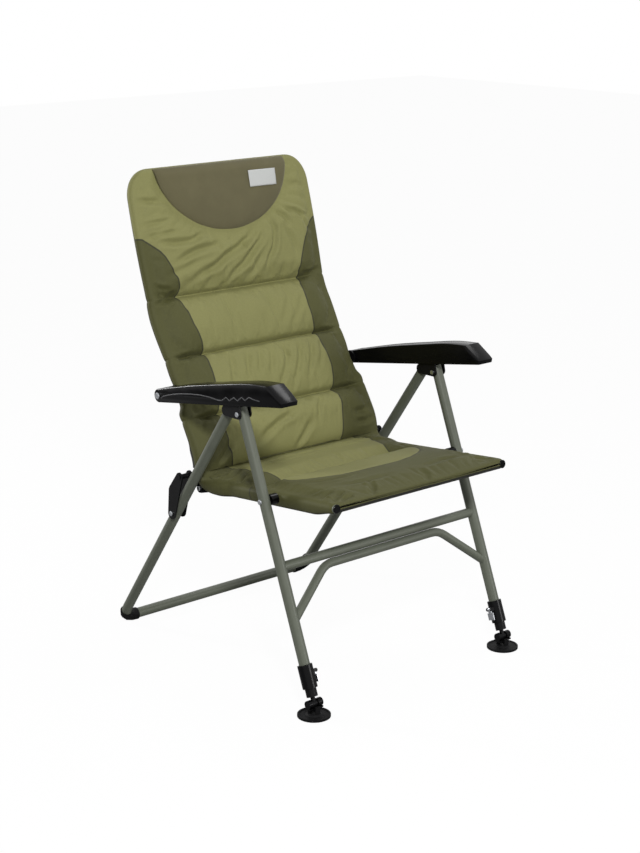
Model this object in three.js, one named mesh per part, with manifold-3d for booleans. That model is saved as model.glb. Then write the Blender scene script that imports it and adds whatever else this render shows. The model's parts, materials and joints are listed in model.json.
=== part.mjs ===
// Folding reclining carp chair with telescopic front legs.
// Millimetres, +Z up, the sitter faces -Y, the floor is the plane Z = 0.
// The sitter's left hand is at +X.
import * as THREE from 'three';
import { mergeVertices } from 'three/addons/utils/BufferGeometryUtils.js';
import Module from 'manifold-3d';

const wasm = await Module();
wasm.setup();
const radians = THREE.MathUtils.degToRad;

// Clearances and cutting allowances
const seatGap = 0.3;
const boltClearance = 0.3;
const cutOverrun = 6;

// Leg tubes, all on two side planes
const legHalfSpan = 300;
const legTubeRadius = 12.5;
const legTubeWall = 1.2;
const legTubeSides = 14;
const legInnerFace = legHalfSpan - legTubeRadius;
const legOuterFace = legHalfSpan + legTubeRadius;
const apexY = -39;
const apexHeight = 641;
const frontTilt = 21.3;
const rearTilt = 35.58;

// Bolts
const boltRadius = 3;
const boltHeadRadius = 6;
const boltHeadHeight = 3.4;
const nutRadius = 5.2;
const nutHeight = 3.4;
const boltSides = 10;

// Front leg: distances run down the tube from the apex bolt
const frontLegTopRise = 14;
const frontTubeEndHeight = 75;
const footPivotHeight = 30;
const collarTopHeight = 111;
const collarBottomHeight = 62;
const collarRadius = 17;
const seatPivotDrop = 198.6;
const crossBarDrop = 348.5;
const crossBarRadius = 11;
const braceRadius = 10;
const braceBendInset = 122;
const braceHalfStraight = legHalfSpan - braceBendInset;
const braceEndDrop = 460;
const braceBendRadius = 60;
const innerLegRadius = 10.7;
const innerLegWall = 1.5;
const innerLegHeld = 190;
const ferruleRadius = 12.8;
const ferruleRise = 15;
const neckRadius = 5.2;
const footBallRadius = 6.5;

// Lock lever on each collar
const leverPinRadius = 2;
const leverHubRadius = 3.8;
const leverLugRadius = 4.5;
const leverLugHalfGap = 5;
const leverLugWall = 3;
const leverLength = 26;
const leverGripWidth = 18;
const leverGripLength = 17;
const leverThickness = 3;

// Tilting mud foot
const discRadius = 37.5;
const discThickness = 5.5;
const discRimWidth = 4;
const discRimStep = 1.5;
const hubRadius = 19;
const hubHeight = 9;
const knuckleHalfWidth = 19.5;
const knuckleLobeRadius = 9.7;
const knucklePinRadius = 2.5;
const footPinHeight = 18;
const footTongueRadius = 7.5;
const footSwingRoom = 1;
const footBridgeStep = 1;
const footEarHalfWidth = 6.3;
const footEarWall = 4;
const footEarHeight = 25;

// Rear frame: distances run down the tube from the foot of the perpendicular to the apex bolt
const rearOffset = 36.4;
const rearTubeTopDrop = 8;
const rearRivetDrop = 25;
const rearBendRadius = 42;
const shoeWall = 2.5;
const shoeLength = 58;
const linkBoltDrop = 383.9;

// Hinge plates beside the leg tubes
const earThickness = 3.2;
const apexEarRadius = 11;
const rivetEarRadius = 12;
const rivetRadius = 3;
const catchPinRadius = 4;
const catchEarRadius = 7;
const catchPinBack = 23.6;
const catchPinRise = 26.1;

// Link between the rear leg and the seat
const linkLowerRadius = 14;
const linkUpperRadius = 11;
const linkBellyRadius = 17;
const linkBellyBack = 11;
const linkSpacerRadius = 6;

// Seat frame and its pivots, measured from the seat bolt back along the rails and up
const seatTilt = 5.7;
const railInset = 44;
const railHalfSpan = legHalfSpan - railInset;
const railRadius = 10;
const railWall = 1.2;
const railSides = 12;
const seatRailForward = 190;
const seatRailBack = 222;
const seatFrontBarForward = 160;
const seatRearBarBack = 140;
const seatBarRadius = 8.5;
const seatPadForward = 193;
const seatPadBack = 176;
const seatSeamBack = 92;
const hingeBackLength = 273.7;
const hingeDrop = 12.9;
const linkPinBackLength = 292.6;
const linkPinRise = 19.2;
const seatPlateThickness = 4;
const seatPlateRadius = 9;
const hingeEyeRadius = 12;
const linkEyeRadius = 8;
const linkBossRadius = 4;
const rivetTailLength = 2;
const capThickness = 3;
const capPlugLength = 12;
const spacerRadius = 13;

// Back frame, measured up its line from the bend above the hinge
const backKickHeight = 70;
const lowerBackLength = 361;
const upperBackLength = 329;
const lowerBackTilt = 30.8;
const upperBackTilt = 15.1;
const kneeRadius = 150;
const backRailStart = 57;
const backCornerRadius = 55;
const backBarAt = 135;
const backPlateThickness = 3.6;
const backPlateElbowRise = 54;
const backPlateElbowForward = 5;
const backPlateRadius = 8.5;
const backHingeEyeRadius = 10.5;
const fixingBossRadius = 7.5;
const backPlateFixingHeights = [70, 87];
const backSeamHeights = [95.5, 245.6, 393];
const armPivotAt = 167.6;

// Cover: the sleeve that wraps the rails, and the padding between the seams
const sleeveRadius = 12;
const backCrownHeight = 15;
const seatCrownHeight = 12;
const seamDrawDepth = 7;
const sideBulgeWidth = 3;
const bendInset = 13;
const bendHalfWidth = railHalfSpan - bendInset;
const bendThickness = 12;
const bendCrownHeight = 7;
const bendCornerRadius = 60;

// Head rest and its blank label
const headInset = 64;
const headHalfWidth = railHalfSpan - headInset;
const headDepth = 165;
const headThickness = 24;
const headEdgeHeight = 2.5;
const labelWidth = 90;
const labelHeight = 40;
const labelThickness = 0.8;
const labelOffset = 102;
const labelBelowTop = 50;

// Armrest, measured from its rear bolt
const armWidth = 48;
const armWall = 3.5;
const armBossRadius = 16;
const armBossLength = 24;
const armBoltRadius = 4;
const armWasherRadius = 17;
const armTopHeights = [[120, 47], [240, 73], [330, 91], [397, 98]];
const armNoseReach = 444;
const armNoseTop = 68;
const armNoseBottom = 61;
const armNoseRoundRadius = 7;
const armNoseSlopeDepth = 1;
const armKinkHeights = [287, 35];
const armBevelWidth = 3;
const railStripWidth = 20;
const railStripRoofGap = 4.5;
const reclineForward = 6;
const reclineBack = 17;
const armrestFollowShare = 0.75;

// Geometry helpers

const X = new THREE.Vector3(1, 0, 0);

function solidOf(geometry) {
  const bare = geometry.index ? geometry.toNonIndexed() : geometry.clone();
  bare.deleteAttribute('normal');
  bare.deleteAttribute('uv');
  const merged = mergeVertices(bare);
  return new wasm.Manifold(new wasm.Mesh({
    numProp: 3,
    vertProperties: new Float32Array(merged.attributes.position.array),
    triVerts: new Uint32Array(merged.index.array),
  }));
}

function geometryOf(solid) {
  const mesh = solid.getMesh();
  const geometry = new THREE.BufferGeometry();
  geometry.setAttribute('position', new THREE.Float32BufferAttribute(mesh.vertProperties, mesh.numProp));
  geometry.setIndex(new THREE.BufferAttribute(new Uint32Array(mesh.triVerts), 1));
  geometry.computeVertexNormals();
  return geometry;
}

const join = (...solids) => solids.reduce((all, next) => all.add(next));
const cut = (solid, ...tools) => tools.reduce((left, tool) => left.subtract(tool), solid);

function rod(from, to, radius, sides) {
  const along = to.clone().sub(from);
  const geometry = new THREE.CylinderGeometry(radius, radius, along.length(), sides);
  geometry.applyQuaternion(new THREE.Quaternion().setFromUnitVectors(
    new THREE.Vector3(0, 1, 0), along.clone().normalize()));
  const middle = from.clone().lerp(to, 1 / 2);
  return solidOf(geometry.translate(middle.x, middle.y, middle.z));
}

// A rod along X between two distances from the middle, on the side that sign gives
function crossRod(sign, near, far, y, z, radius, sides = boltSides) {
  return rod(new THREE.Vector3(sign * near, y, z), new THREE.Vector3(sign * far, y, z), radius, sides);
}

function pipe(from, to, radius, wall, sides) {
  const overrun = to.clone().sub(from).setLength(cutOverrun);
  return rod(from, to, radius, sides).subtract(
    rod(from.clone().sub(overrun), to.clone().add(overrun), radius - wall, sides));
}

// Straight runs joined by bends, with stations only at the ends and round the bends
class BentRoute extends THREE.Curve {
  constructor(corners, radii, bendSteps) {
    super();
    this.stations = [corners[0]];
    for (let i = 1; i < corners.length - 1; i += 1) {
      const inward = corners[i - 1].clone().sub(corners[i]).normalize();
      const onward = corners[i + 1].clone().sub(corners[i]).normalize();
      const turn = Math.PI - inward.angleTo(onward);
      const trim = radii[i - 1] * Math.tan(turn / 2);
      const bend = new THREE.QuadraticBezierCurve3(
        corners[i].clone().addScaledVector(inward, trim),
        corners[i],
        corners[i].clone().addScaledVector(onward, trim));
      this.stations.push(...bend.getPoints(bendSteps));
    }
    this.stations.push(corners[corners.length - 1]);
    this.steps = this.stations.length - 1;
  }

  getPoint(t) {
    return this.stations[Math.round(t * this.steps)].clone();
  }

  getPointAt(u) {
    return this.getPoint(u);
  }

  getTangentAt(u) {
    const i = Math.round(u * this.steps);
    const before = this.stations[Math.max(i - 1, 0)];
    const here = this.stations[i];
    const after = this.stations[Math.min(i + 1, this.steps)];
    const arriving = here.clone().sub(before).normalize();
    const leaving = after.clone().sub(here).normalize();
    return arriving.add(leaving).normalize();
  }
}

function ringOutline(radius, sides) {
  const points = [];
  for (let i = 0; i < sides; i += 1) {
    const angle = (2 * Math.PI * i) / sides;
    points.push(new THREE.Vector2(radius * Math.cos(angle), radius * Math.sin(angle)));
  }
  return points;
}

function bentRod(route, radius, sides) {
  const shape = new THREE.Shape(ringOutline(radius, sides));
  return solidOf(new THREE.ExtrudeGeometry(shape, { steps: route.steps, extrudePath: route }));
}

function bentPipe(route, radius, wall, sides) {
  const shape = new THREE.Shape(ringOutline(radius, sides));
  shape.holes.push(new THREE.Path(ringOutline(radius - wall, sides)));
  return solidOf(new THREE.ExtrudeGeometry(shape, { steps: route.steps, extrudePath: route }));
}

// A turned piece on the X axis: the profile lists [radius, distance outwards] and sign picks the side
function turned(sign, y, z, profile, sides = boltSides) {
  const points = profile.map(([radius, out]) => new THREE.Vector2(radius, out));
  const geometry = new THREE.LatheGeometry(points, sides).rotateZ(-Math.PI / 2);
  if (sign < 0) geometry.rotateY(Math.PI);
  return solidOf(geometry.translate(0, y, z));
}

// A turned piece on the Z axis: the profile lists [radius, height]
function turnedUpright(profile, sides) {
  const points = profile.map(([radius, height]) => new THREE.Vector2(radius, height));
  return solidOf(new THREE.LatheGeometry(points, sides).rotateX(Math.PI / 2));
}

// A plate across X between two distances from the middle, from an outline of [back, up] points
function plate(sign, near, far, outline) {
  const shape = new THREE.Shape(outline.map(([y, z]) => new THREE.Vector2(y, z)));
  const geometry = new THREE.ExtrudeGeometry(shape, { depth: far - near, bevelEnabled: false });
  const toSide = new THREE.Matrix4().makeBasis(
    new THREE.Vector3(0, 1, 0), new THREE.Vector3(0, 0, 1), new THREE.Vector3(1, 0, 0));
  geometry.applyMatrix4(toSide);
  return solidOf(geometry.translate(sign > 0 ? near : -far, 0, 0));
}

// The rounded outline that a belt round several circles would take
function beltOutline(circles, sides = 16) {
  const points = circles.flatMap(({ y, z, r }) => ringOutline(r, sides).map((p) => [y + p.x, z + p.y]));
  points.sort((a, b) => a[0] - b[0] || a[1] - b[1]);
  const turnOf = (a, b, c) => (b[0] - a[0]) * (c[1] - a[1]) - (b[1] - a[1]) * (c[0] - a[0]);
  const halfHull = (list) => {
    const hull = [];
    for (const point of list) {
      while (hull.length > 1 && turnOf(hull[hull.length - 2], hull[hull.length - 1], point) <= 0) hull.pop();
      hull.push(point);
    }
    return hull.slice(0, -1);
  };
  return [...halfHull(points), ...halfHull(points.reverse())];
}

// A soft slab from rows of paired points, top over bottom, closed round its edges
function slab(rows) {
  const columns = rows[0].length;
  const positions = [];
  rows.forEach((row) => row.forEach(([top, bottom]) => positions.push(...top, ...bottom)));
  const at = (row, column, under) => 2 * (row * columns + column) + under;
  const faces = [];
  const quad = (a, b, c, d) => faces.push(a, b, c, a, c, d);
  for (let r = 0; r < rows.length - 1; r += 1) {
    for (let c = 0; c < columns - 1; c += 1) {
      quad(at(r, c, 0), at(r, c + 1, 0), at(r + 1, c + 1, 0), at(r + 1, c, 0));
      quad(at(r, c, 1), at(r + 1, c, 1), at(r + 1, c + 1, 1), at(r, c + 1, 1));
    }
    quad(at(r, 0, 0), at(r + 1, 0, 0), at(r + 1, 0, 1), at(r, 0, 1));
    quad(at(r, columns - 1, 0), at(r, columns - 1, 1), at(r + 1, columns - 1, 1), at(r + 1, columns - 1, 0));
  }
  const last = rows.length - 1;
  for (let c = 0; c < columns - 1; c += 1) {
    quad(at(0, c, 0), at(0, c, 1), at(0, c + 1, 1), at(0, c + 1, 0));
    quad(at(last, c, 0), at(last, c + 1, 0), at(last, c + 1, 1), at(last, c, 1));
  }
  const geometry = new THREE.BufferGeometry();
  geometry.setAttribute('position', new THREE.Float32BufferAttribute(positions, 3));
  geometry.setIndex(faces);
  return solidOf(geometry);
}

// Assembly groups, each with its origin on a joint
const chair = new THREE.Group();
const finishes = {
  paint: { color: 0x5f6456, roughness: 0.5, metalness: 0.4 },
  black: { color: 0x17181a, roughness: 0.45, metalness: 0 },
  rubber: { color: 0x1a1b1c, roughness: 0.8, metalness: 0 },
  steel: { color: 0xc9ccd0, roughness: 0.3, metalness: 1 },
  lightCloth: { color: 0x7f8350, roughness: 0.95, metalness: 0 },
  darkCloth: { color: 0x55553b, roughness: 0.95, metalness: 0 },
  headCloth: { color: 0x4d4a36, roughness: 0.95, metalness: 0 },
  label: { color: 0xe9eae8, roughness: 0.8, metalness: 0 },
};

function place(group, name, solid, finish) {
  const mesh = new THREE.Mesh(geometryOf(solid), new THREE.MeshStandardMaterial(finishes[finish]));
  mesh.name = name;
  group.add(mesh);
}

function groupAt(y, z, tilt) {
  const group = new THREE.Group();
  group.position.set(0, y, z);
  group.rotation.x = radians(tilt);
  chair.add(group);
  return group;
}

const sides = [['left', 1], ['right', -1]];
const down = (distance, tilt) => [distance * Math.sin(radians(tilt)), -distance * Math.cos(radians(tilt))];
const turn = (y, z, tilt) => [
  y * Math.cos(radians(tilt)) - z * Math.sin(radians(tilt)),
  y * Math.sin(radians(tilt)) + z * Math.cos(radians(tilt)),
];

const frontGroup = groupAt(apexY, apexHeight, -frontTilt);
const rearGroup = groupAt(apexY, apexHeight, rearTilt);
const [seatPivotY, seatPivotZ] = down(seatPivotDrop, -frontTilt).map((v, i) => v + [apexY, apexHeight][i]);
const seatGroup = groupAt(seatPivotY, seatPivotZ, -seatTilt);
const onSeat = (back, rise) => turn(back, rise, -seatTilt).map((v, i) => v + [seatPivotY, seatPivotZ][i]);
const [hingeY, hingeZ] = onSeat(hingeBackLength, -hingeDrop);
const backGroup = groupAt(hingeY, hingeZ, 0);

// Drops down the front leg to the heights that the collar and foot stand at
const frontDropTo = (height) => (apexHeight - height) / Math.cos(radians(frontTilt));
const frontTubeEnd = frontDropTo(frontTubeEndHeight);
const collarTop = frontDropTo(collarTopHeight);
const collarBottom = frontDropTo(collarBottomHeight);
const footPivotDrop = frontDropTo(footPivotHeight);

// Hinge plate slabs on both faces of a leg tube
const innerEar = [legInnerFace - seatGap - earThickness, legInnerFace - seatGap];
const outerEar = [legOuterFace + seatGap, legOuterFace + seatGap + earThickness];

// A bolt with a nut at its inner end and a domed head at its outer end
function bolt(sign, y, z, inner, outer, radius = boltRadius) {
  const nutEnd = inner - nutHeight;
  const dome = boltHeadHeight / 3;
  const headRadius = boltHeadRadius * (radius / boltRadius);
  return turned(sign, y, z, [
    [0, nutEnd], [nutRadius, nutEnd], [nutRadius, inner], [radius, inner], [radius, outer],
    [headRadius, outer], [headRadius, outer + boltHeadHeight - dome],
    [headRadius - dome, outer + boltHeadHeight], [0, outer + boltHeadHeight],
  ]);
}

// A bolt that ends inside a hollow tube
function blindBolt(sign, y, z, inner, outer, radius = boltRadius) {
  const dome = boltHeadHeight / 3;
  const headRadius = boltHeadRadius * (radius / boltRadius);
  return turned(sign, y, z, [
    [0, inner], [radius, inner], [radius, outer],
    [headRadius, outer], [headRadius, outer + boltHeadHeight - dome],
    [headRadius - dome, outer + boltHeadHeight], [0, outer + boltHeadHeight],
  ]);
}

// The armrest's bolt, with a wide washer that keeps the armrest off the cover
function armBoltSolid(sign) {
  const washer = crossRod(sign, railHalfSpan + sleeveRadius + sideBulgeWidth + seatGap, armInner - seatGap,
    armPivot.y, armPivot.z, armWasherRadius, legTubeSides);
  return join(washer, blindBolt(sign, armPivot.y, armPivot.z, railHalfSpan + armBoltRadius,
    armOuter + seatGap, armBoltRadius));
}

// Front legs, cross bar and brace
function frontLegSolid(sign) {
  const at = (z) => new THREE.Vector3(sign * legHalfSpan, 0, z);
  return cut(
    pipe(at(frontLegTopRise), at(-frontTubeEnd), legTubeRadius, legTubeWall, legTubeSides),
    crossRod(sign, legInnerFace - cutOverrun, legOuterFace + cutOverrun, 0, 0, boltRadius + boltClearance),
    crossRod(sign, legInnerFace - cutOverrun, legOuterFace + cutOverrun, 0, -seatPivotDrop,
      boltRadius + boltClearance),
  );
}

function legClearance(sign) {
  const at = (z) => new THREE.Vector3(sign * legHalfSpan, 0, z);
  return rod(at(0), at(-frontTubeEnd), legTubeRadius + seatGap, legTubeSides);
}

function crossBarSolid() {
  const at = (x) => new THREE.Vector3(x, 0, -crossBarDrop);
  return cut(
    pipe(at(-legHalfSpan), at(legHalfSpan), crossBarRadius, legTubeWall, railSides),
    legClearance(1),
    legClearance(-1),
  );
}

const braceDrop = crossBarDrop + crossBarRadius + braceRadius + seatGap;

function braceSolid() {
  const at = (x, drop) => new THREE.Vector3(x, 0, -drop);
  const corners = [
    at(legHalfSpan, braceEndDrop + crossBarRadius), at(braceHalfStraight, braceDrop),
    at(-braceHalfStraight, braceDrop), at(-legHalfSpan, braceEndDrop + crossBarRadius),
  ];
  const route = new BentRoute(corners, [braceBendRadius, braceBendRadius], 4);
  return cut(bentPipe(route, braceRadius, legTubeWall, railSides), legClearance(1), legClearance(-1));
}

// Height-adjusting collar with two ears for its lock lever, on the tube's lower end
const leverPinOut = collarRadius + leverHubRadius + 2 * seatGap;
const leverPinDrop = collarTop + (collarBottom - collarTop) / 3;

function leverRod(sign, out, near, far, radius) {
  const x = sign * (legHalfSpan - out);
  return rod(new THREE.Vector3(x, near, -leverPinDrop), new THREE.Vector3(x, far, -leverPinDrop),
    radius, boltSides);
}

function collarSolid(sign) {
  const bore = legTubeRadius + seatGap;
  const lip = innerLegRadius + seatGap;
  const shoulder = frontTubeEnd + seatGap;
  const body = turnedUpright([
    [lip, -collarBottom], [collarRadius, -collarBottom], [collarRadius, -collarTop],
    [bore, -collarTop], [bore, -shoulder], [lip, -shoulder], [lip, -collarBottom],
  ], legTubeSides).translate([sign * legHalfSpan, 0, 0]);
  const lugEnd = leverLugHalfGap + leverLugWall;
  const lugs = [[-lugEnd, -leverLugHalfGap], [leverLugHalfGap, lugEnd]].flatMap(([near, far]) => [
    leverRod(sign, leverPinOut, near, far, leverLugRadius),
    leverRod(sign, collarRadius, near, far, leverLugRadius),
  ]);
  const hollow = rod(new THREE.Vector3(sign * legHalfSpan, 0, -collarTop),
    new THREE.Vector3(sign * legHalfSpan, 0, -shoulder), bore, legTubeSides);
  return join(cut(join(body, ...lugs), hollow), leverRod(sign, leverPinOut, -lugEnd, lugEnd, leverPinRadius));
}

// The lever turns on the collar's pin and lies down along the collar when it is shut
function leverSolid(sign) {
  const half = leverLugHalfGap - seatGap;
  const x = sign * (legHalfSpan - leverPinOut);
  const blade = new THREE.BoxGeometry(leverThickness, 2 * half, leverLength);
  blade.translate(x, 0, -leverPinDrop - leverLength / 2);
  const grip = new THREE.BoxGeometry(leverThickness, leverGripWidth, leverGripLength);
  grip.translate(x, 0, -leverPinDrop - leverLength + leverGripLength / 2);
  return cut(
    join(leverRod(sign, leverPinOut, -half, half, leverHubRadius), solidOf(blade), solidOf(grip)),
    leverRod(sign, leverPinOut, -leverGripWidth, leverGripWidth, leverPinRadius + seatGap),
  );
}

// Sliding inner leg: tube, black ferrule, neck and the eye that the knuckle turns on
function innerLegSolid(sign) {
  const top = frontTubeEnd - innerLegHeld;
  const ferruleTop = collarBottom + seatGap;
  const ferruleBottom = footPivotDrop - ferruleRise;
  const bore = innerLegRadius - innerLegWall;
  const tube = turnedUpright([
    [bore, -top], [bore, -ferruleTop], [0, -ferruleTop], [0, -footPivotDrop], [neckRadius, -footPivotDrop],
    [neckRadius, -ferruleBottom], [ferruleRadius, -ferruleBottom], [ferruleRadius, -ferruleTop],
    [innerLegRadius, -ferruleTop], [innerLegRadius, -top], [bore, -top],
  ], legTubeSides);
  const eye = rod(new THREE.Vector3(-footBallRadius, 0, -footPivotDrop),
    new THREE.Vector3(footBallRadius, 0, -footPivotDrop), footBallRadius, railSides);
  const hole = rod(new THREE.Vector3(-footBallRadius - cutOverrun, 0, -footPivotDrop),
    new THREE.Vector3(footBallRadius + cutOverrun, 0, -footPivotDrop), knucklePinRadius + seatGap, boltSides);
  return cut(join(tube, eye), hole).translate([sign * legHalfSpan, 0, 0]);
}

// Knuckle and disc, in a group at the foot pivot with Z upright
function knuckleSolid() {
  const drop = footPivotHeight - footPinHeight;
  const gap = footBallRadius + seatGap;
  const lobes = [-1, 1].map((end) => rod(new THREE.Vector3(end * gap, 0, 0),
    new THREE.Vector3(end * knuckleHalfWidth, 0, 0), knuckleLobeRadius, railSides));
  const bridgeTop = -footBallRadius - seatGap - footBridgeStep;
  const bridge = new THREE.BoxGeometry(2 * knuckleHalfWidth, 2 * knuckleLobeRadius * 0.94,
    knucklePinRadius + footBridgeStep);
  bridge.translate(0, 0, bridgeTop - (knucklePinRadius + footBridgeStep) / 2);
  const tongue = rod(new THREE.Vector3(0, -knuckleLobeRadius, -drop), new THREE.Vector3(0, knuckleLobeRadius, -drop),
    footTongueRadius, railSides);
  const pin = rod(new THREE.Vector3(-knuckleHalfWidth, 0, 0), new THREE.Vector3(knuckleHalfWidth, 0, 0),
    knucklePinRadius, boltSides);
  const hole = rod(new THREE.Vector3(0, -discRadius, -drop), new THREE.Vector3(0, discRadius, -drop),
    knucklePinRadius + seatGap, boltSides);
  const eyeRoom = rod(new THREE.Vector3(-gap, 0, 0), new THREE.Vector3(gap, 0, 0), gap, railSides);
  return cut(join(cut(join(...lobes, solidOf(bridge), tongue), eyeRoom), pin), hole);
}

function mudFootSolid() {
  const rimInner = discRadius - discRimWidth;
  const disc = turnedUpright([
    [0, 0], [discRadius, 0], [discRadius, discThickness], [rimInner, discThickness],
    [rimInner, discThickness - discRimStep], [hubRadius, discThickness - discRimStep],
    [hubRadius - discRimWidth, hubHeight - discRimStep], [0, hubHeight - discRimStep],
  ], 28).translate([0, 0, -footPivotHeight]);
  const nearFace = knuckleLobeRadius + seatGap;
  const ears = [-1, 1].map((end) => {
    const ear = new THREE.BoxGeometry(2 * footEarHalfWidth, footEarWall, footEarHeight - discThickness + discRimStep);
    ear.translate(0, end * (nearFace + footEarWall / 2), (footEarHeight + discThickness - discRimStep) / 2 - footPivotHeight);
    return solidOf(ear);
  });
  const drop = footPivotHeight - footPinHeight;
  const reach = nearFace + footEarWall;
  const pin = rod(new THREE.Vector3(0, -reach, -drop), new THREE.Vector3(0, reach, -drop), knucklePinRadius, boltSides);
  const swing = rod(new THREE.Vector3(0, -nearFace, -drop), new THREE.Vector3(0, nearFace, -drop),
    footTongueRadius + footSwingRoom, railSides);
  return join(cut(join(disc, ...ears), swing), pin);
}

// Rear frame: one tube bent into a U with its bottom run on the floor
const rearFootY = rearOffset * Math.cos(radians(rearTilt));
const rearPerpendicularZ = apexHeight + rearOffset * Math.sin(radians(rearTilt));
const shoeRadius = legTubeRadius + seatGap + shoeWall;
const rearLegLength = (rearPerpendicularZ - shoeRadius) / Math.cos(radians(rearTilt));

function rearRoute(topDrop) {
  const at = (x, drop) => new THREE.Vector3(x, rearOffset, -drop);
  return new BentRoute([
    at(legHalfSpan, topDrop), at(legHalfSpan, rearLegLength),
    at(-legHalfSpan, rearLegLength), at(-legHalfSpan, topDrop),
  ], [rearBendRadius, rearBendRadius], 5);
}

function rearFrameSolid() {
  const holes = sides.flatMap(([, sign]) => [
    crossRod(sign, legInnerFace - cutOverrun, legOuterFace + cutOverrun, rearOffset, -rearRivetDrop,
      rivetRadius + boltClearance),
    crossRod(sign, legInnerFace - cutOverrun, legOuterFace + cutOverrun, rearOffset, -linkBoltDrop,
      boltRadius + boltClearance),
  ]);
  return cut(bentPipe(rearRoute(rearTubeTopDrop), legTubeRadius, legTubeWall, legTubeSides), ...holes);
}

// Rubber shoe under each corner: a thicker skin of the bend, cut off above it
function shoeSolid(sign) {
  const skin = bentRod(rearRoute(rearLegLength / 2), shoeRadius, legTubeSides);
  const tube = bentRod(rearRoute(rearLegLength / 3), legTubeRadius + seatGap, legTubeSides);
  const keep = new THREE.BoxGeometry(2 * shoeLength, 4 * shoeRadius, 2 * shoeLength * 0.45);
  keep.translate(sign * (legHalfSpan + shoeRadius), rearOffset + legTubeRadius / 3, -rearLegLength);
  return cut(skin, tube).intersect(solidOf(keep));
}

// Hinge bracket that ties the rear tube to the apex bolt and carries the armrest's catch pin
function apexBracketSolid(sign) {
  const outline = beltOutline([
    { y: 0, z: 0, r: apexEarRadius },
    { y: rearOffset, z: -rearRivetDrop, r: rivetEarRadius },
    { y: catchPinBack, z: catchPinRise, r: catchEarRadius },
  ]);
  const ears = [innerEar, outerEar].map(([near, far]) => plate(sign, near, far, outline));
  const tie = (y, z, radius) => crossRod(sign, innerEar[0], outerEar[1], y, z, radius);
  return cut(
    join(...ears, tie(catchPinBack, catchPinRise, catchPinRadius), tie(rearOffset, -rearRivetDrop, rivetRadius)),
    crossRod(sign, innerEar[0] - cutOverrun, outerEar[1] + cutOverrun, 0, 0, boltRadius + boltClearance),
  );
}

// Link: two cheeks that straddle the rear tube, tied at the upper end by a spacer
const [linkPinY, linkPinZ] = onSeat(linkPinBackLength, linkPinRise);
const [linkTopY, linkTopZ] = turn(linkPinY - apexY, linkPinZ - apexHeight, -rearTilt);

function linkSolid(sign) {
  const outline = beltOutline([
    { y: rearOffset, z: -linkBoltDrop, r: linkLowerRadius },
    { y: linkTopY, z: linkTopZ, r: linkUpperRadius },
    { y: (rearOffset + linkTopY) / 2 + linkBellyBack, z: (linkTopZ - linkBoltDrop) / 2, r: linkBellyRadius },
  ]);
  const cheeks = [innerEar, outerEar].map(([near, far]) => plate(sign, near, far, outline));
  const spacer = crossRod(sign, innerEar[0], outerEar[1] + boltHeadHeight / 2, linkTopY, linkTopZ,
    linkSpacerRadius, railSides);
  return cut(
    join(...cheeks, spacer),
    crossRod(sign, innerEar[0] - cutOverrun, outerEar[1] + cutOverrun, rearOffset, -linkBoltDrop,
      boltRadius + boltClearance),
  );
}

// Seat frame: two rails and two cross bars welded between them
const railOuterFace = railHalfSpan + railRadius;
const seatPlate = [railOuterFace + seatGap, railOuterFace + seatGap + seatPlateThickness];
const backPlate = [seatPlate[1] + seatGap, seatPlate[1] + seatGap + backPlateThickness];
const seatPlateFront = seatRailBack - 3.2 * railRadius;

function seatRail(sign, radius, overrun) {
  return rod(new THREE.Vector3(sign * railHalfSpan, -seatRailForward - overrun, 0),
    new THREE.Vector3(sign * railHalfSpan, seatRailBack + overrun, 0), radius, railSides);
}

function seatBar(y, radius) {
  return rod(new THREE.Vector3(-railHalfSpan, y, 0), new THREE.Vector3(railHalfSpan, y, 0), radius, railSides);
}

function seatFrameSolid() {
  const bars = [seatBar(-seatFrontBarForward, seatBarRadius), seatBar(seatRearBarBack, seatBarRadius)];
  const rails = sides.map(([, sign]) => seatRail(sign, railRadius, 0));
  const bores = sides.map(([, sign]) => seatRail(sign, railRadius - railWall, cutOverrun));
  const holes = sides.flatMap(([, sign]) => [
    crossRod(sign, railHalfSpan, railOuterFace + cutOverrun, 0, 0, boltRadius + boltClearance),
    crossRod(sign, railHalfSpan, railOuterFace + cutOverrun, seatPlateFront, 0, rivetRadius + boltClearance),
  ]);
  return cut(join(...rails, ...bars), ...bores, ...holes);
}

function seatCapSolid(sign) {
  const profile = [
    [0, 0], [railRadius - railWall - seatGap, 0], [railRadius - railWall - seatGap, capPlugLength],
    [railRadius, capPlugLength], [railRadius, capPlugLength + capThickness * 0.6],
    [railRadius - capThickness * 0.4, capPlugLength + capThickness], [0, capPlugLength + capThickness],
  ];
  const points = profile.map(([radius, forward]) => new THREE.Vector2(radius, forward));
  const plug = new THREE.LatheGeometry(points, railSides).rotateX(Math.PI);
  return solidOf(plug.translate(sign * railHalfSpan, capPlugLength - seatRailForward - seatGap, 0));
}

function seatPlateSolid(sign) {
  const body = plate(sign, ...seatPlate, beltOutline([
    { y: seatPlateFront, z: 0, r: seatPlateRadius },
    { y: hingeBackLength, z: -hingeDrop, r: hingeEyeRadius },
    { y: linkPinBackLength, z: linkPinRise, r: linkEyeRadius },
  ]));
  const linkBoss = crossRod(sign, seatPlate[0], innerEar[0] - seatGap, linkPinBackLength, linkPinRise, linkBossRadius);
  const rivet = crossRod(sign, railOuterFace - railWall - rivetTailLength, seatPlate[1], seatPlateFront, 0, rivetRadius);
  return cut(
    join(body, linkBoss, rivet),
    crossRod(sign, seatPlate[0] - cutOverrun, seatPlate[1] + cutOverrun, hingeBackLength, -hingeDrop,
      boltRadius + boltClearance),
  );
}

function spacerSolid(sign) {
  const near = railHalfSpan + sleeveRadius + seatGap;
  return cut(
    crossRod(sign, near, legInnerFace - seatGap, 0, 0, spacerRadius, railSides),
    crossRod(sign, near - cutOverrun, legInnerFace + cutOverrun, 0, 0, boltRadius + boltClearance),
  );
}

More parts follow.
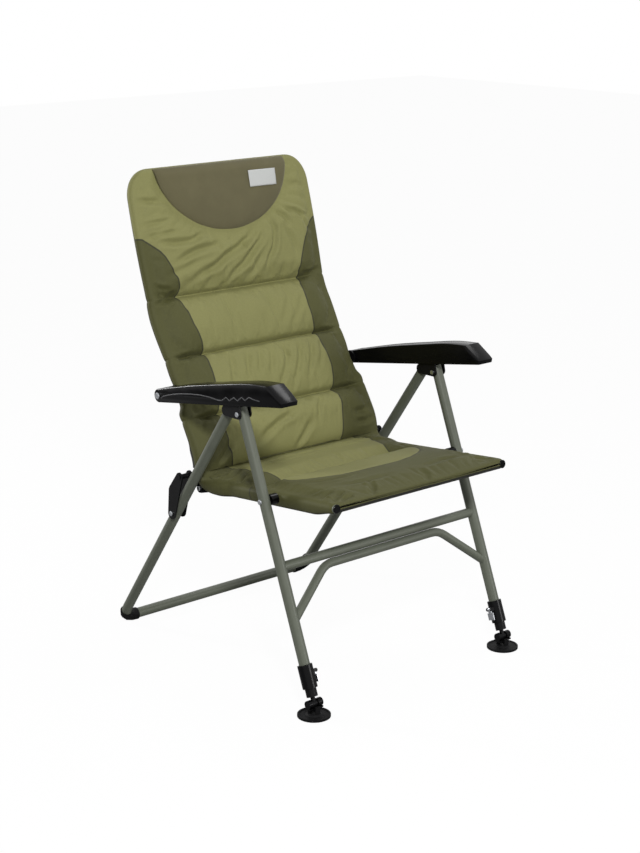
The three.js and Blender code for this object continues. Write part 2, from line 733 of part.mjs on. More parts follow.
// Back line: points, directions and seams on the side plane of the back group
const backBend = new THREE.Vector2(0, backKickHeight);
const along = (tilt, length) => new THREE.Vector2(length * Math.sin(radians(tilt)), length * Math.cos(radians(tilt)));
const backKnee = backBend.clone().add(along(lowerBackTilt, lowerBackLength));
const backTop = backKnee.clone().add(along(upperBackTilt, upperBackLength));
const kneeTrim = kneeRadius * Math.tan(radians(lowerBackTilt - upperBackTilt) / 2);
const backLine = new THREE.Path()
  .moveTo(backBend.x, backBend.y)
  .lineTo(...backKnee.clone().sub(along(lowerBackTilt, kneeTrim)).toArray())
  .quadraticCurveTo(backKnee.x, backKnee.y, ...backKnee.clone().add(along(upperBackTilt, kneeTrim)).toArray())
  .lineTo(...backTop.clone().add(along(upperBackTilt, sleeveRadius)).toArray());
const backLineLength = backLine.getLength();

function onBack(distance) {
  const share = Math.min(Math.max(distance / backLineLength, 0), 1);
  const point = backLine.getPointAt(share);
  const direction = backLine.getTangentAt(share);
  return { y: point.x, z: point.y, frontY: -direction.y, frontZ: direction.x };
}

const backAt = (distance, x = 0, front = 0) => {
  const p = onBack(distance);
  return [x, p.y + front * p.frontY, p.z + front * p.frontZ];
};

// Back frame: one tube bent into a U with its open ends down, and a cross bar
function backRoute(start, halfSpan) {
  const knee = (x) => new THREE.Vector3(x, backKnee.x, backKnee.y);
  const top = (x) => new THREE.Vector3(x, backTop.x, backTop.y);
  const low = (x) => new THREE.Vector3(...backAt(start, x));
  return new BentRoute(
    [low(halfSpan), knee(halfSpan), top(halfSpan), top(-halfSpan), knee(-halfSpan), low(-halfSpan)],
    [kneeRadius, backCornerRadius, backCornerRadius, kneeRadius], 4);
}

function backBar(radius) {
  return rod(new THREE.Vector3(...backAt(backBarAt, -railHalfSpan)),
    new THREE.Vector3(...backAt(backBarAt, railHalfSpan)), radius, railSides);
}

const armPivot = onBack(armPivotAt);

function backFrameSolid() {
  const outer = bentRod(backRoute(backRailStart, railHalfSpan), railRadius, railSides);
  const bore = bentRod(backRoute(backRailStart - cutOverrun, railHalfSpan), railRadius - railWall, railSides);
  const holes = sides.flatMap(([, sign]) => [
    crossRod(sign, railHalfSpan, railOuterFace + cutOverrun, armPivot.y, armPivot.z, armBoltRadius + boltClearance),
    ...backPlateFixingHeights.map((at) => crossRod(sign, railHalfSpan, railOuterFace + cutOverrun,
      onBack(at).y, onBack(at).z, rivetRadius + boltClearance)),
  ]);
  return cut(join(outer, backBar(seatBarRadius)), bore, ...holes);
}

// Hinge plate of the back: an elbow from the hinge bolt up to two rivets in the rail
function backPlateSolid(sign) {
  const elbow = { y: -backPlateElbowForward, z: backPlateElbowRise, r: backPlateRadius };
  const fixings = backPlateFixingHeights.map((at) => ({ y: onBack(at).y, z: onBack(at).z, r: backPlateRadius }));
  const lower = plate(sign, ...backPlate, beltOutline([{ y: 0, z: 0, r: backHingeEyeRadius }, elbow]));
  const upper = plate(sign, ...backPlate, beltOutline([elbow, fixings[fixings.length - 1]]));
  const bosses = fixings.map(({ y, z }) => crossRod(sign, railOuterFace + seatGap, backPlate[1], y, z,
    fixingBossRadius, railSides));
  const rivets = fixings.map(({ y, z }) => crossRod(sign, railOuterFace - railWall - rivetTailLength, backPlate[1], y, z,
    rivetRadius));
  return cut(
    join(lower, upper, ...bosses, ...rivets),
    crossRod(sign, backPlate[0] - cutOverrun, backPlate[1] + cutOverrun, 0, 0, boltRadius + boltClearance),
  );
}

// Padding rises between two seams and is drawn in at each
function fillBetween(distance, seams) {
  for (let i = 0; i < seams.length - 1; i += 1) {
    if (distance >= seams[i] && distance <= seams[i + 1]) {
      return Math.sqrt(Math.sin(Math.PI * ((distance - seams[i]) / (seams[i + 1] - seams[i]))));
    }
  }
  return 0;
}

// Half of a padded section, as pairs of [across, front, rear], from the sleeve in to the middle
const crownShares = [-0.82, -0.62, -0.38, -0.13, 0.13, 0.38, 0.62, 0.82];

function padRow(halfWidth, edge, crown, draw, position) {
  const round = Math.SQRT1_2;
  const rim = [
    [-halfWidth, edge * 0.25], [-halfWidth + edge * (1 - round), edge * round], [-halfWidth + edge, edge],
  ];
  const inner = crownShares.map((share) => {
    const middle = 1 - share ** 4;
    return [share * (halfWidth - edge), edge - draw * middle + crown * middle];
  });
  const columns = [...rim, ...inner, ...rim.map(([x, front]) => [-x, front]).reverse()];
  return columns.map(([x, front]) => [position(x, front), position(x, -Math.min(front, edge))]);
}

// Stations along a panel: close to its ends and seams, and even between them
function stationsBetween(seams, perChannel) {
  const stations = [];
  for (let i = 0; i < seams.length - 1; i += 1) {
    const span = seams[i + 1] - seams[i];
    for (let k = 0; k < perChannel; k += 1) {
      const share = (1 - Math.cos((Math.PI * k) / perChannel)) / 2;
      stations.push(seams[i] + span * share);
    }
  }
  return [...stations, seams[seams.length - 1]];
}

const backPadEnd = backLineLength;
const backPadSeams = [backSeamHeights[0], backSeamHeights[1], backSeamHeights[2], backPadEnd];

function backHalfWidth(distance) {
  const fill = fillBetween(distance, backPadSeams);
  const full = railHalfSpan + sleeveRadius + sideBulgeWidth * fill;
  const cornerDepth = backCornerRadius + sleeveRadius;
  const into = Math.max(distance - (backPadEnd - cornerDepth), 0);
  return full - (cornerDepth - Math.sqrt(Math.max(cornerDepth ** 2 - into ** 2, 0))) * 0.8;
}

function backFrontRise(distance) {
  return { crown: backCrownHeight * fillBetween(distance, backPadSeams), draw: seamDrawDepth };
}

// The pad's edge is as thick as the sleeve and rounds over the top rail
function backEdge(distance) {
  const left = backPadEnd - distance;
  if (left >= sleeveRadius) return sleeveRadius;
  return Math.max(Math.sqrt(sleeveRadius ** 2 - (sleeveRadius - left) ** 2), sleeveRadius / 5);
}

function backPadSolid() {
  const topTurns = [0.92, 0.7, 0.38, 0.1].map((share) => backPadEnd - share * sleeveRadius);
  const stations = stationsBetween(backPadSeams, 6).filter((s) => s < backPadEnd - sleeveRadius);
  const cornerDepth = backCornerRadius + sleeveRadius;
  const corners = [0.75, 0.5, 0.3].map((share) => backPadEnd - share * cornerDepth);
  const all = [...stations, ...corners, ...topTurns, backPadEnd].sort((a, b) => a - b);
  all[0] += seatGap;
  const rows = all.map((distance) => {
    const { crown, draw } = backFrontRise(distance);
    const edge = backEdge(distance);
    const fade = edge / sleeveRadius;
    return padRow(backHalfWidth(distance), edge, crown * fade, draw * fade,
      (x, front) => backAt(distance, x, front));
  });
  const frame = join(
    bentRod(backRoute(backRailStart, railHalfSpan), railRadius + seatGap, railSides),
    backBar(seatBarRadius + seatGap),
  );
  const bolts = sides.map(([, sign]) => crossRod(sign, railHalfSpan, railOuterFace + 2 * sleeveRadius,
    armPivot.y, armPivot.z, armBoltRadius + boltClearance));
  return cut(slab(rows), frame, ...bolts);
}

// Seat pad: a front and a rear channel parted by one seam
const seatPadSeams = [-seatPadForward, seatSeamBack, seatPadBack];

function seatPadSolid() {
  const seams = [-seatPadForward, seatSeamBack, seatPadBack + (seatPadBack - seatSeamBack)];
  const stations = stationsBetween([-seatPadForward, seatSeamBack], 9)
    .concat([0.12, 0.3, 0.55, 0.8].map((share) => seatSeamBack + share * (seatPadBack - seatSeamBack)))
    .concat([seatPadBack]);
  const rows = stations.map((y) => {
    const front = Math.min((y + seatPadForward) / sleeveRadius, 1);
    const edge = sleeveRadius * Math.max(Math.sqrt(1 - (1 - front) ** 2), 0.35);
    const crown = seatCrownHeight * fillBetween(y, seams);
    return padRow(railHalfSpan + sleeveRadius, edge, crown, seamDrawDepth * front,
      (x, rise) => [x, y, rise]);
  });
  const frame = join(
    ...sides.map(([, sign]) => seatRail(sign, railRadius + seatGap, cutOverrun)),
    seatBar(-seatFrontBarForward, seatBarRadius + seatGap),
    seatBar(seatRearBarBack, seatBarRadius + seatGap),
  );
  const bolts = sides.map(([, sign]) => crossRod(sign, railHalfSpan, railOuterFace + 2 * sleeveRadius, 0, 0,
    boltRadius + boltClearance));
  return cut(slab(rows), frame, ...bolts);
}

// Cover bend: the padded fold that runs on from the seat, round the corner and up to the first back seam
function bendPath() {
  const start = onSeat(seatPadBack + seatGap, 0);
  const corner = onSeat(hingeBackLength + bendThickness / 2, 0);
  const riseFoot = [hingeY + backBend.x, hingeZ + backBend.y];
  const end = onBack(backSeamHeights[0] - seatGap);
  const path = new THREE.Path().moveTo(start[0], start[1]);
  const toward = new THREE.Vector2(corner[0] - start[0], corner[1] - start[1]).setLength(bendCornerRadius);
  path.lineTo(corner[0] - toward.x, corner[1] - toward.y);
  path.quadraticCurveTo(corner[0], corner[1], riseFoot[0], riseFoot[1]);
  path.lineTo(hingeY + end.y, hingeZ + end.z);
  return path;
}

function bendSolid() {
  const path = bendPath();
  const edge = bendThickness / 2;
  const rowShares = [0, 0.12, 0.25, 0.37, 0.46, 0.54, 0.62, 0.72, 0.86, 1];
  const rows = rowShares.map((share) => {
    const point = path.getPointAt(share);
    const direction = path.getTangentAt(share);
    const crown = bendCrownHeight * Math.sin(Math.PI * share);
    return padRow(bendHalfWidth, edge, crown, 0, (x, front) => [
      x, point.x - front * direction.y, point.y + front * direction.x,
    ]);
  });
  return slab(rows);
}

// Head rest: a half-moon pillow on the pad's front at the top
function padFront(x, distance) {
  const { crown, draw } = backFrontRise(distance);
  const fade = backEdge(distance) / sleeveRadius;
  const share = x / (backHalfWidth(distance) - sleeveRadius);
  const middle = Math.max(1 - share ** 4, 0);
  return backEdge(distance) + (crown - draw) * middle * fade;
}

const headTop = backPadEnd - sleeveRadius;

function headSurface(x, distance) {
  const depthShare = (headTop - distance) / headDepth;
  const radial = Math.min(Math.hypot(x / headHalfWidth, depthShare), 1);
  return padFront(x, distance) + 3 * seatGap + headEdgeHeight + headThickness * Math.sqrt(1 - radial ** 2.4);
}

function headRestSolid() {
  const rowShares = [0.985, 0.94, 0.86, 0.74, 0.6, 0.45, 0.3, 0.15, 0.04, 0];
  const columnShares = [-1, -0.94, -0.8, -0.6, -0.36, -0.12, 0.12, 0.36, 0.6, 0.8, 0.94, 1];
  const rows = rowShares.map((depthShare) => {
    const distance = headTop - depthShare * headDepth;
    const half = headHalfWidth * Math.sqrt(1 - depthShare ** 2);
    return columnShares.map((share) => {
      const x = share * half;
      return [
        backAt(distance, x, headSurface(x, distance)),
        backAt(distance, x, padFront(x, distance) + 3 * seatGap),
      ];
    });
  });
  return slab(rows);
}

function labelSolid() {
  const rowShares = [1, 0.66, 0.33, 0];
  const columnShares = [-1, -0.5, 0, 0.5, 1];
  const rows = rowShares.map((share) => {
    const distance = headTop - labelBelowTop - (share - 1 / 2) * labelHeight;
    return columnShares.map((acrossShare) => {
      const x = labelOffset + (acrossShare * labelWidth) / 2;
      const base = headSurface(x, distance) + 3 * seatGap;
      return [backAt(distance, x, base + labelThickness), backAt(distance, x, base)];
    });
  });
  return slab(rows);
}

// Armrest: a hollow moulding, open underneath, with a solid boss round its rear bolt
const armInner = legHalfSpan - armWidth / 2;
const armOuter = legHalfSpan + armWidth / 2;

function armOutline(inset) {
  const shape = new THREE.Shape();
  const boss = armBossRadius - inset;
  shape.moveTo(0, -boss);
  shape.absarc(0, 0, boss, -Math.PI / 2, Math.PI / 2, false);
  const top = armTopHeights.map(([forward, rise]) => new THREE.Vector2(-forward, rise - inset));
  shape.splineThru(top);
  shape.lineTo(-armNoseReach + inset + armNoseRoundRadius, armNoseTop + armNoseRoundRadius - inset);
  shape.lineTo(-armNoseReach + inset, armNoseTop - inset / 2);
  shape.lineTo(-armNoseReach + inset + armNoseSlopeDepth, armNoseBottom);
  shape.lineTo(-armKinkHeights[0], armKinkHeights[1]);
  return shape;
}

function armrestSolid(sign) {
  const depth = armWidth - 2 * armBevelWidth;
  const shell = new THREE.ExtrudeGeometry(armOutline(armBevelWidth), {
    depth, bevelEnabled: true, bevelThickness: armBevelWidth, bevelSize: armBevelWidth, bevelSegments: 2, curveSegments: 5,
  });
  const toSide = new THREE.Matrix4().makeBasis(
    new THREE.Vector3(0, 1, 0), new THREE.Vector3(0, 0, 1), new THREE.Vector3(1, 0, 0));
  shell.applyMatrix4(toSide).translate(sign > 0 ? armInner + armBevelWidth : -armOuter + armBevelWidth, 0, 0);
  const low = -armBossRadius - cutOverrun;
  const roof = armTopHeights.map(([forward, rise]) => [-forward, rise - 1.3 * armWall]);
  const nose = [-armNoseReach + 2.6 * armWall, armNoseTop - armWall];
  const hollow = [
    [-armBossLength, low], [-armBossLength, armBossRadius - armWall], ...roof, nose,
    [nose[0], low],
  ].reverse();
  const hollowFar = armOuter - armWall;
  return cut(
    solidOf(shell),
    plate(sign, armInner + armWall, hollowFar, hollow),
    crossRod(sign, armInner - cutOverrun, armOuter + cutOverrun, 0, 0, armBoltRadius + boltClearance),
  );
}

// Where the catch pin lies in the armrest's own frame when the back is reclined
const [catchY, catchZ] = turn(catchPinBack, catchPinRise, rearTilt).map((v, i) => v + [apexY, apexHeight][i]);

function catchPinSeenFromArm(recline) {
  const [y, z] = turn(armPivot.y, armPivot.z, -recline);
  const tilt = (1 - armrestFollowShare) * recline;
  return turn(catchY - hingeY - y, catchZ - hingeZ - z, tilt);
}

// Glide strip under the armrest's roof, shaped by the path of the catch pin
function glideSolid(sign) {
  const lower = [];
  const marginAngle = 3;
  const count = 9;
  for (let i = 0; i <= count; i += 1) {
    const recline = -reclineForward - marginAngle + ((reclineBack + reclineForward + 2 * marginAngle) * i) / count;
    const [y, z] = catchPinSeenFromArm(recline);
    const [nextY, nextZ] = catchPinSeenFromArm(recline + 1);
    const lift = (catchPinRadius + 2 * seatGap) / Math.cos(Math.atan2(nextZ - z, nextY - y));
    lower.push([y, z + Math.abs(lift)]);
  }
  const roofCurve = new THREE.SplineCurve(armTopHeights.map(([forward, rise]) => new THREE.Vector2(-forward, rise)));
  const samples = roofCurve.getPoints(24);
  const roofAt = (y) => {
    const right = samples.findIndex((p) => p.x <= y);
    const a = samples[Math.max(right - 1, 0)];
    const b = samples[right < 0 ? samples.length - 1 : right];
    const share = a.x === b.x ? 0 : (y - a.x) / (b.x - a.x);
    return a.y + (b.y - a.y) * share;
  };
  const upper = lower.map(([y]) => [y, roofAt(y) - 1.3 * armWall - railStripRoofGap]).reverse();
  const outline = [...lower, ...upper];
  const near = legHalfSpan - railStripWidth / 2;
  return plate(sign, near, near + railStripWidth, outline.reverse());
}

// Put the pieces together
for (const [hand, sign] of sides) {
  place(frontGroup, `front_leg_${hand}`, frontLegSolid(sign), 'paint');
  place(frontGroup, `leg_collar_${hand}`, collarSolid(sign), 'black');
  place(frontGroup, `lock_lever_${hand}`, leverSolid(sign), 'steel');
  place(frontGroup, `inner_leg_${hand}`, innerLegSolid(sign), 'black');
  place(frontGroup, `apex_bolt_${hand}`, bolt(sign, 0, 0, innerEar[0] - seatGap, outerEar[1] + seatGap), 'steel');
  place(frontGroup, `seat_bolt_${hand}`,
    blindBolt(sign, 0, -seatPivotDrop, railHalfSpan + boltRadius, legOuterFace + seatGap), 'steel');
  place(rearGroup, `apex_bracket_${hand}`, apexBracketSolid(sign), 'black');
  place(rearGroup, `rear_shoe_${hand}`, shoeSolid(sign), 'rubber');
  place(rearGroup, `fold_link_${hand}`, linkSolid(sign), 'black');
  place(rearGroup, `link_bolt_${hand}`,
    bolt(sign, rearOffset, -linkBoltDrop, innerEar[0] - seatGap, outerEar[1] + seatGap), 'steel');
  place(seatGroup, `seat_spacer_${hand}`, spacerSolid(sign), 'black');
  place(seatGroup, `seat_cap_${hand}`, seatCapSolid(sign), 'black');
  place(seatGroup, `seat_plate_${hand}`, seatPlateSolid(sign), 'black');
  place(backGroup, `back_plate_${hand}`, backPlateSolid(sign), 'black');
  place(backGroup, `hinge_bolt_${hand}`,
    bolt(sign, 0, 0, seatPlate[0] - seatGap, backPlate[1] + seatGap), 'steel');
  place(backGroup, `arm_bolt_${hand}`, armBoltSolid(sign), 'steel');

  const armGroup = groupAt(hingeY + armPivot.y, hingeZ + armPivot.z, 0);
  place(armGroup, `armrest_${hand}`, armrestSolid(sign), 'black');
  place(armGroup, `arm_glide_${hand}`, glideSolid(sign), 'black');

  const [footY, footZ] = down(footPivotDrop, -frontTilt);
  const footGroup = groupAt(apexY + footY, apexHeight + footZ, 0);
  footGroup.position.x = sign * legHalfSpan;
  place(footGroup, `foot_knuckle_${hand}`, knuckleSolid(), 'black');
  place(footGroup, `mud_foot_${hand}`, mudFootSolid(), 'rubber');
}
place(frontGroup, 'front_cross_bar', crossBarSolid(), 'paint');
place(frontGroup, 'front_brace', braceSolid(), 'paint');
place(rearGroup, 'rear_leg_frame', rearFrameSolid(), 'paint');
place(seatGroup, 'seat_frame', seatFrameSolid(), 'paint');
place(seatGroup, 'seat_pad', seatPadSolid(), 'darkCloth');
place(chair, 'cover_bend', bendSolid(), 'darkCloth');
place(backGroup, 'back_frame', backFrameSolid(), 'paint');
place(backGroup, 'back_pad', backPadSolid(), 'lightCloth');
place(backGroup, 'head_rest', headRestSolid(), 'headCloth');
place(backGroup, 'blank_label', labelSolid(), 'label');

// The origin is on the floor, under the middle of the whole chair
chair.updateMatrixWorld(true);
const reach = new THREE.Box3().setFromObject(chair, true);
const middle = reach.getCenter(new THREE.Vector3());
for (const part of chair.children) {
  part.position.x -= middle.x;
  part.position.y -= middle.y;
  part.position.z -= reach.min.z;
}

export default chair;
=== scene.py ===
"""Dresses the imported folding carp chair: covers, finishes, floor, light and camera."""

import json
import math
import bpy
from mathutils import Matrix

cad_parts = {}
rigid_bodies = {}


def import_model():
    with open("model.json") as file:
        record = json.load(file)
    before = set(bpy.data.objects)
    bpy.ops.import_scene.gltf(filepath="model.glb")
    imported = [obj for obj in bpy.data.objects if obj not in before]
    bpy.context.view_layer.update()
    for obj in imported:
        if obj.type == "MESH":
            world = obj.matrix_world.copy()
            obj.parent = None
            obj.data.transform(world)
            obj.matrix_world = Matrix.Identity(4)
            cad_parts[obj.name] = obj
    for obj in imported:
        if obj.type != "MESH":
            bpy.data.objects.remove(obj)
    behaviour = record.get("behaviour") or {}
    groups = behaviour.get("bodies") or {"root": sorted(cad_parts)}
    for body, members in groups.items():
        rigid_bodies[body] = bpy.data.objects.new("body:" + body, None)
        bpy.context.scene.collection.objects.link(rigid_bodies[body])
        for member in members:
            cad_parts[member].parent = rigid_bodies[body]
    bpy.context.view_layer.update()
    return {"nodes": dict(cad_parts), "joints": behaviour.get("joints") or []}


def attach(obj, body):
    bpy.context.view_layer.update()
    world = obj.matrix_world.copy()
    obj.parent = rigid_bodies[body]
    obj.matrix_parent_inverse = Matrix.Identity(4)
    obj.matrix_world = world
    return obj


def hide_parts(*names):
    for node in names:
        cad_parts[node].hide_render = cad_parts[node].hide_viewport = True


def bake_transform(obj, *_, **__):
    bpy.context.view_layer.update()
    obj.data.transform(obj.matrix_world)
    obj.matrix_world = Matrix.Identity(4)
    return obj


bl_info = {
    "name": "Carp Chair Dressing",
    "version": (1, 0, 0),
    "blender": (4, 5, 0),
    "location": "View3D > Sidebar > Carp Chair",
    "description": "Builds the padded cover, trim, finishes and studio of a folding carp chair",
    "category": "Object",
}

import bmesh
import bpy
import numpy as np
from bpy.props import FloatProperty, FloatVectorProperty, PointerProperty, StringProperty
from mathutils import Vector, noise

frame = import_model()
NODES = frame["nodes"]
JOINT_AT = {joint["name"]: joint.get("pos_m") for joint in frame["joints"]}
MM = 0.001
HANDS = (("left", 1), ("right", -1))
# Points closer than this are one point
WELD = 0.00002

# The joints that the cover is measured from, as (y, z) in metres
APEX = np.array(JOINT_AT["rear_hinge"][1:])
SEAT_PIVOT = np.array(JOINT_AT["fold"][1:])
HINGE = np.array(JOINT_AT["recline"][1:])


# Colours, written as they look in the photograph's light
def linear(hexadecimal):
    """An sRGB hex colour as linear red, green, blue and alpha."""
    channels = [int(hexadecimal[i:i + 2], 16) / 255 for i in (1, 3, 5)]
    return tuple(c / 12.92 if c <= 0.04045 else ((c + 0.055) / 1.055) ** 2.4 for c in channels) + (1.0,)


class CarpChairColours(bpy.types.PropertyGroup):
    """Colours of the chair's cloth, paint and plastic"""
    light_cloth: StringProperty(name="Light olive cloth", description="Middle panels", default="#878656")
    dark_cloth: StringProperty(name="Dark olive cloth", description="Side and front panels", default="#51512f")
    lining: StringProperty(name="Rear lining", description="Back of the cover", default="#1b1b17")
    piping: StringProperty(name="Piping", description="Sewn line between the panels", default="#3a3a2a")
    pillow_cloth: StringProperty(name="Pillow cloth", description="Brushed head rest", default="#645f44")
    label_cloth: StringProperty(name="Label", description="Blank woven label", default="#c9cbc9")
    tube_paint: StringProperty(name="Tube paint", description="Grey-green frame paint", default="#62665a")
    black_plastic: StringProperty(name="Black plastic", description="Armrests and collars", default="#09090a")
    # The relief's lighter grey is a painted highlight that stands in for the light along the raised line
    relief_highlight_plastic: StringProperty(name="Relief plastic", description="Rubbed raised line", default="#4a4a4c")
    black_rubber: StringProperty(name="Black rubber", description="Feet and shoes", default="#0e0e0f")
    black_coat: StringProperty(name="Black powder coat", description="Hinge plates", default="#0d0d0e")
    zinc: StringProperty(name="Zinc plate", description="Bolts and levers", default="#b9bcc0")
    floor: StringProperty(name="Floor", description="Studio floor and backdrop", default="#b4b4b4")


class CarpChairCover(bpy.types.PropertyGroup):
    """Sizes of the padded cover"""
    grid: FloatProperty(name="Cloth grid", description="Spacing of the cloth mesh", default=0.005,
                        min=0.003, max=0.01, unit="LENGTH")
    back_crown: FloatProperty(name="Back crown", description="Rise of a back channel over its seams",
                              default=0.013, min=0.0, max=0.03, unit="LENGTH")
    seat_crown: FloatProperty(name="Seat crown", description="Rise of a seat channel over its seams",
                              default=0.012, min=0.0, max=0.03, unit="LENGTH")
    seam_draw: FloatProperty(name="Seam draw", description="Depth of a sewn channel seam",
                             default=0.014, min=0.0, max=0.02, unit="LENGTH")
    pucker: FloatProperty(name="Pucker", description="Height of the puckers beside a seam",
                          default=0.0045, min=0.0, max=0.008, unit="LENGTH")
    side_bulge: FloatProperty(name="Side bulge", description="How far a channel swells past its seams at the side",
                              default=0.007, min=0.0, max=0.015, unit="LENGTH")
    fold_scale: FloatProperty(name="Fold scale", description="Depth of the pulled folds against their list",
                              default=2.1, min=0.0, max=3.0)
    label_width: FloatProperty(name="Label width", description="Width of the sewn label",
                               default=0.089, min=0.03, max=0.12, unit="LENGTH")
    label_height: FloatProperty(name="Label height", description="Height of the sewn label",
                                default=0.040, min=0.02, max=0.06, unit="LENGTH")
    label_offset: FloatProperty(name="Label offset", description="Label's middle from the chair's middle",
                                default=0.102, min=0.0, max=0.14, unit="LENGTH")
    cloth_reach: FloatProperty(name="Cloth reach", description="Most that the simulation may move a point",
                               default=0.012, min=0.0, max=0.03, unit="LENGTH")


class CarpChairStage(bpy.types.PropertyGroup):
    """Camera place, turn and lens"""
    lens: FloatProperty(name="Lens", description="Focal length for a 36 mm sensor", default=76.73,
                        min=20, max=200, unit="CAMERA")
    camera_side: FloatProperty(name="Camera side", description="Camera place across the chair",
                               default=-2.7113, unit="LENGTH")
    camera_forward: FloatProperty(name="Camera forward", description="Camera place from the apex bolts",
                                  default=-3.0310, unit="LENGTH")
    camera_height: FloatProperty(name="Camera height", description="Camera place over the floor",
                                 default=1.6848, unit="LENGTH")
    camera_turn: FloatVectorProperty(name="Camera turn", description="Camera rotation in degrees",
                                     default=(74.497, 0.0, -41.012), size=3)


def settings():
    """The colours, the cover's sizes and the stage, as set in the panel."""
    scene = bpy.context.scene
    return scene.carp_chair_colours, scene.carp_chair_cover, scene.carp_chair_stage


# Material helpers
def add(tree, kind, inputs=None, **properties):
    """Adds a node, sets its properties, and sets or links its inputs."""
    node = tree.nodes.new(kind)
    for name, value in properties.items():
        setattr(node, name, value)
    for name, value in (inputs or {}).items():
        socket = node.inputs[name]
        if isinstance(value, bpy.types.NodeSocket):
            tree.links.new(value, socket)
        else:
            socket.default_value = value
    return node


def new_material(name):
    """An empty material and its node tree."""
    material = bpy.data.materials.new(name)
    material.use_nodes = True
    material.node_tree.nodes.clear()
    return material, material.node_tree


def close_material(tree, shader):
    """Links the shader to the material's output."""
    add(tree, "ShaderNodeOutputMaterial", {"Surface": shader.outputs[0]})


def ramp(tree, factor, stops):
    """A colour ramp with the given stops of (position, colour)."""
    node = add(tree, "ShaderNodeValToRGB", {"Fac": factor})
    elements = node.color_ramp.elements
    while len(elements) < len(stops):
        elements.new(0.5)
    for element, (position, colour) in zip(elements, stops):
        element.position = position
        element.color = colour
    return node.outputs["Color"]


def shade(hexadecimal, factor):
    """A colour made lighter or darker."""
    r, g, b, _ = linear(hexadecimal)
    return (min(r * factor, 1), min(g * factor, 1), min(b * factor, 1), 1)


# What the panel_edge attribute says off the light panel: the dark cloth's least value, and the rear lining's
DARK_MARK, LINING_MARK = -0.04, -0.05
# Distance from one thread pair to the next, drawn about three times as coarse as real so that it shows
THREAD_PAIR = 0.0016


# Woven polyester oxford: a plain weave with a dry sheen, in two colours parted by a dark piping
def woven_polyester(name, light, dark, piping, lining):
    material, tree = new_material(name)
    uv = add(tree, "ShaderNodeUVMap", uv_map="cloth").outputs["UV"]
    edge = add(tree, "ShaderNodeAttribute", attribute_name="panel_edge").outputs["Fac"]
    split = add(tree, "ShaderNodeSeparateXYZ", {"Vector": uv})
    waves = []
    for axis in "XY":
        turn = add(tree, "ShaderNodeMath", {0: split.outputs[axis], 1: math.pi / THREAD_PAIR}, operation="MULTIPLY")
        waves.append(add(tree, "ShaderNodeMath", {0: turn.outputs[0]}, operation="SINE").outputs[0])
    weave = add(tree, "ShaderNodeMath", {0: waves[0], 1: waves[1]}, operation="MULTIPLY")
    slub = add(tree, "ShaderNodeTexNoise", {"Vector": uv, "Scale": 260.0, "Detail": 3.0}).outputs["Fac"]
    cloud = add(tree, "ShaderNodeTexNoise", {"Vector": uv, "Scale": 7.0, "Detail": 2.0}).outputs["Fac"]
    light_colour = ramp(tree, slub, [(0.3, shade(light, 0.96)), (0.7, shade(light, 1.03))])
    dark_colour = ramp(tree, slub, [(0.3, shade(dark, 0.95)), (0.7, shade(dark, 1.04))])
    # A Mix node's sockets 0, 6 and 7 are its factor and its two colours, and output 2 is the mixed colour
    inside = add(tree, "ShaderNodeMath", {0: edge, 1: 0.0}, operation="GREATER_THAN")
    panel = add(tree, "ShaderNodeMix", {0: inside.outputs[0], 6: dark_colour, 7: light_colour}, data_type="RGBA")
    near = add(tree, "ShaderNodeMath", {0: edge}, operation="ABSOLUTE")
    line = add(tree, "ShaderNodeMapRange", {"Value": near.outputs[0], "From Min": 0.0012, "From Max": 0.0024,
                                            "To Min": 1.0, "To Max": 0.0})
    trimmed = add(tree, "ShaderNodeMix", {0: line.outputs["Result"], 6: panel.outputs[2], 7: linear(piping)},
                  data_type="RGBA")
    rear = add(tree, "ShaderNodeMath", {0: edge, 1: (DARK_MARK + LINING_MARK) / 2}, operation="LESS_THAN")
    lined = add(tree, "ShaderNodeMix", {0: rear.outputs[0], 6: trimmed.outputs[2], 7: linear(lining)},
                data_type="RGBA")
    tone = add(tree, "ShaderNodeMapRange", {"Value": cloud, "From Min": 0.3, "From Max": 0.7,
                                            "To Min": 0.97, "To Max": 1.03})
    toned = add(tree, "ShaderNodeVectorMath", {0: lined.outputs[2], "Scale": tone.outputs["Result"]},
                operation="SCALE")
    bump = add(tree, "ShaderNodeBump", {"Strength": 0.35, "Distance": 0.0004, "Height": weave.outputs[0]})
    shader = add(tree, "ShaderNodeBsdfPrincipled", {
        "Base Color": toned.outputs["Vector"], "Roughness": 0.62, "Normal": bump.outputs["Normal"],
        "Specular IOR Level": 0.2, "Sheen Weight": 0.06, "Sheen Roughness": 0.45,
        "Sheen Tint": (0.9, 0.9, 0.7, 1.0)})
    close_material(tree, shader)
    return material


# Brushed microfibre: a short nap of about 1 mm that scatters light at its edges and lies in soft patches
def brushed_microfibre(name, colour):
    material, tree = new_material(name)
    place = add(tree, "ShaderNodeTexCoord").outputs["Object"]
    nap = add(tree, "ShaderNodeTexNoise", {"Vector": place, "Scale": 900.0, "Detail": 3.0})
    patch = add(tree, "ShaderNodeTexNoise", {"Vector": place, "Scale": 28.0, "Detail": 4.0})
    colours = ramp(tree, patch.outputs["Fac"], [(0.3, shade(colour, 0.95)), (0.7, shade(colour, 1.05))])
    bump = add(tree, "ShaderNodeBump", {"Strength": 0.4, "Distance": 0.0006, "Height": nap.outputs["Fac"]})
    shader = add(tree, "ShaderNodeBsdfPrincipled", {
        "Base Color": colours, "Roughness": 0.95, "Normal": bump.outputs["Normal"],
        "Sheen Weight": 0.2, "Sheen Roughness": 0.4, "Sheen Tint": (0.85, 0.8, 0.65, 1.0)})
    close_material(tree, shader)
    return material


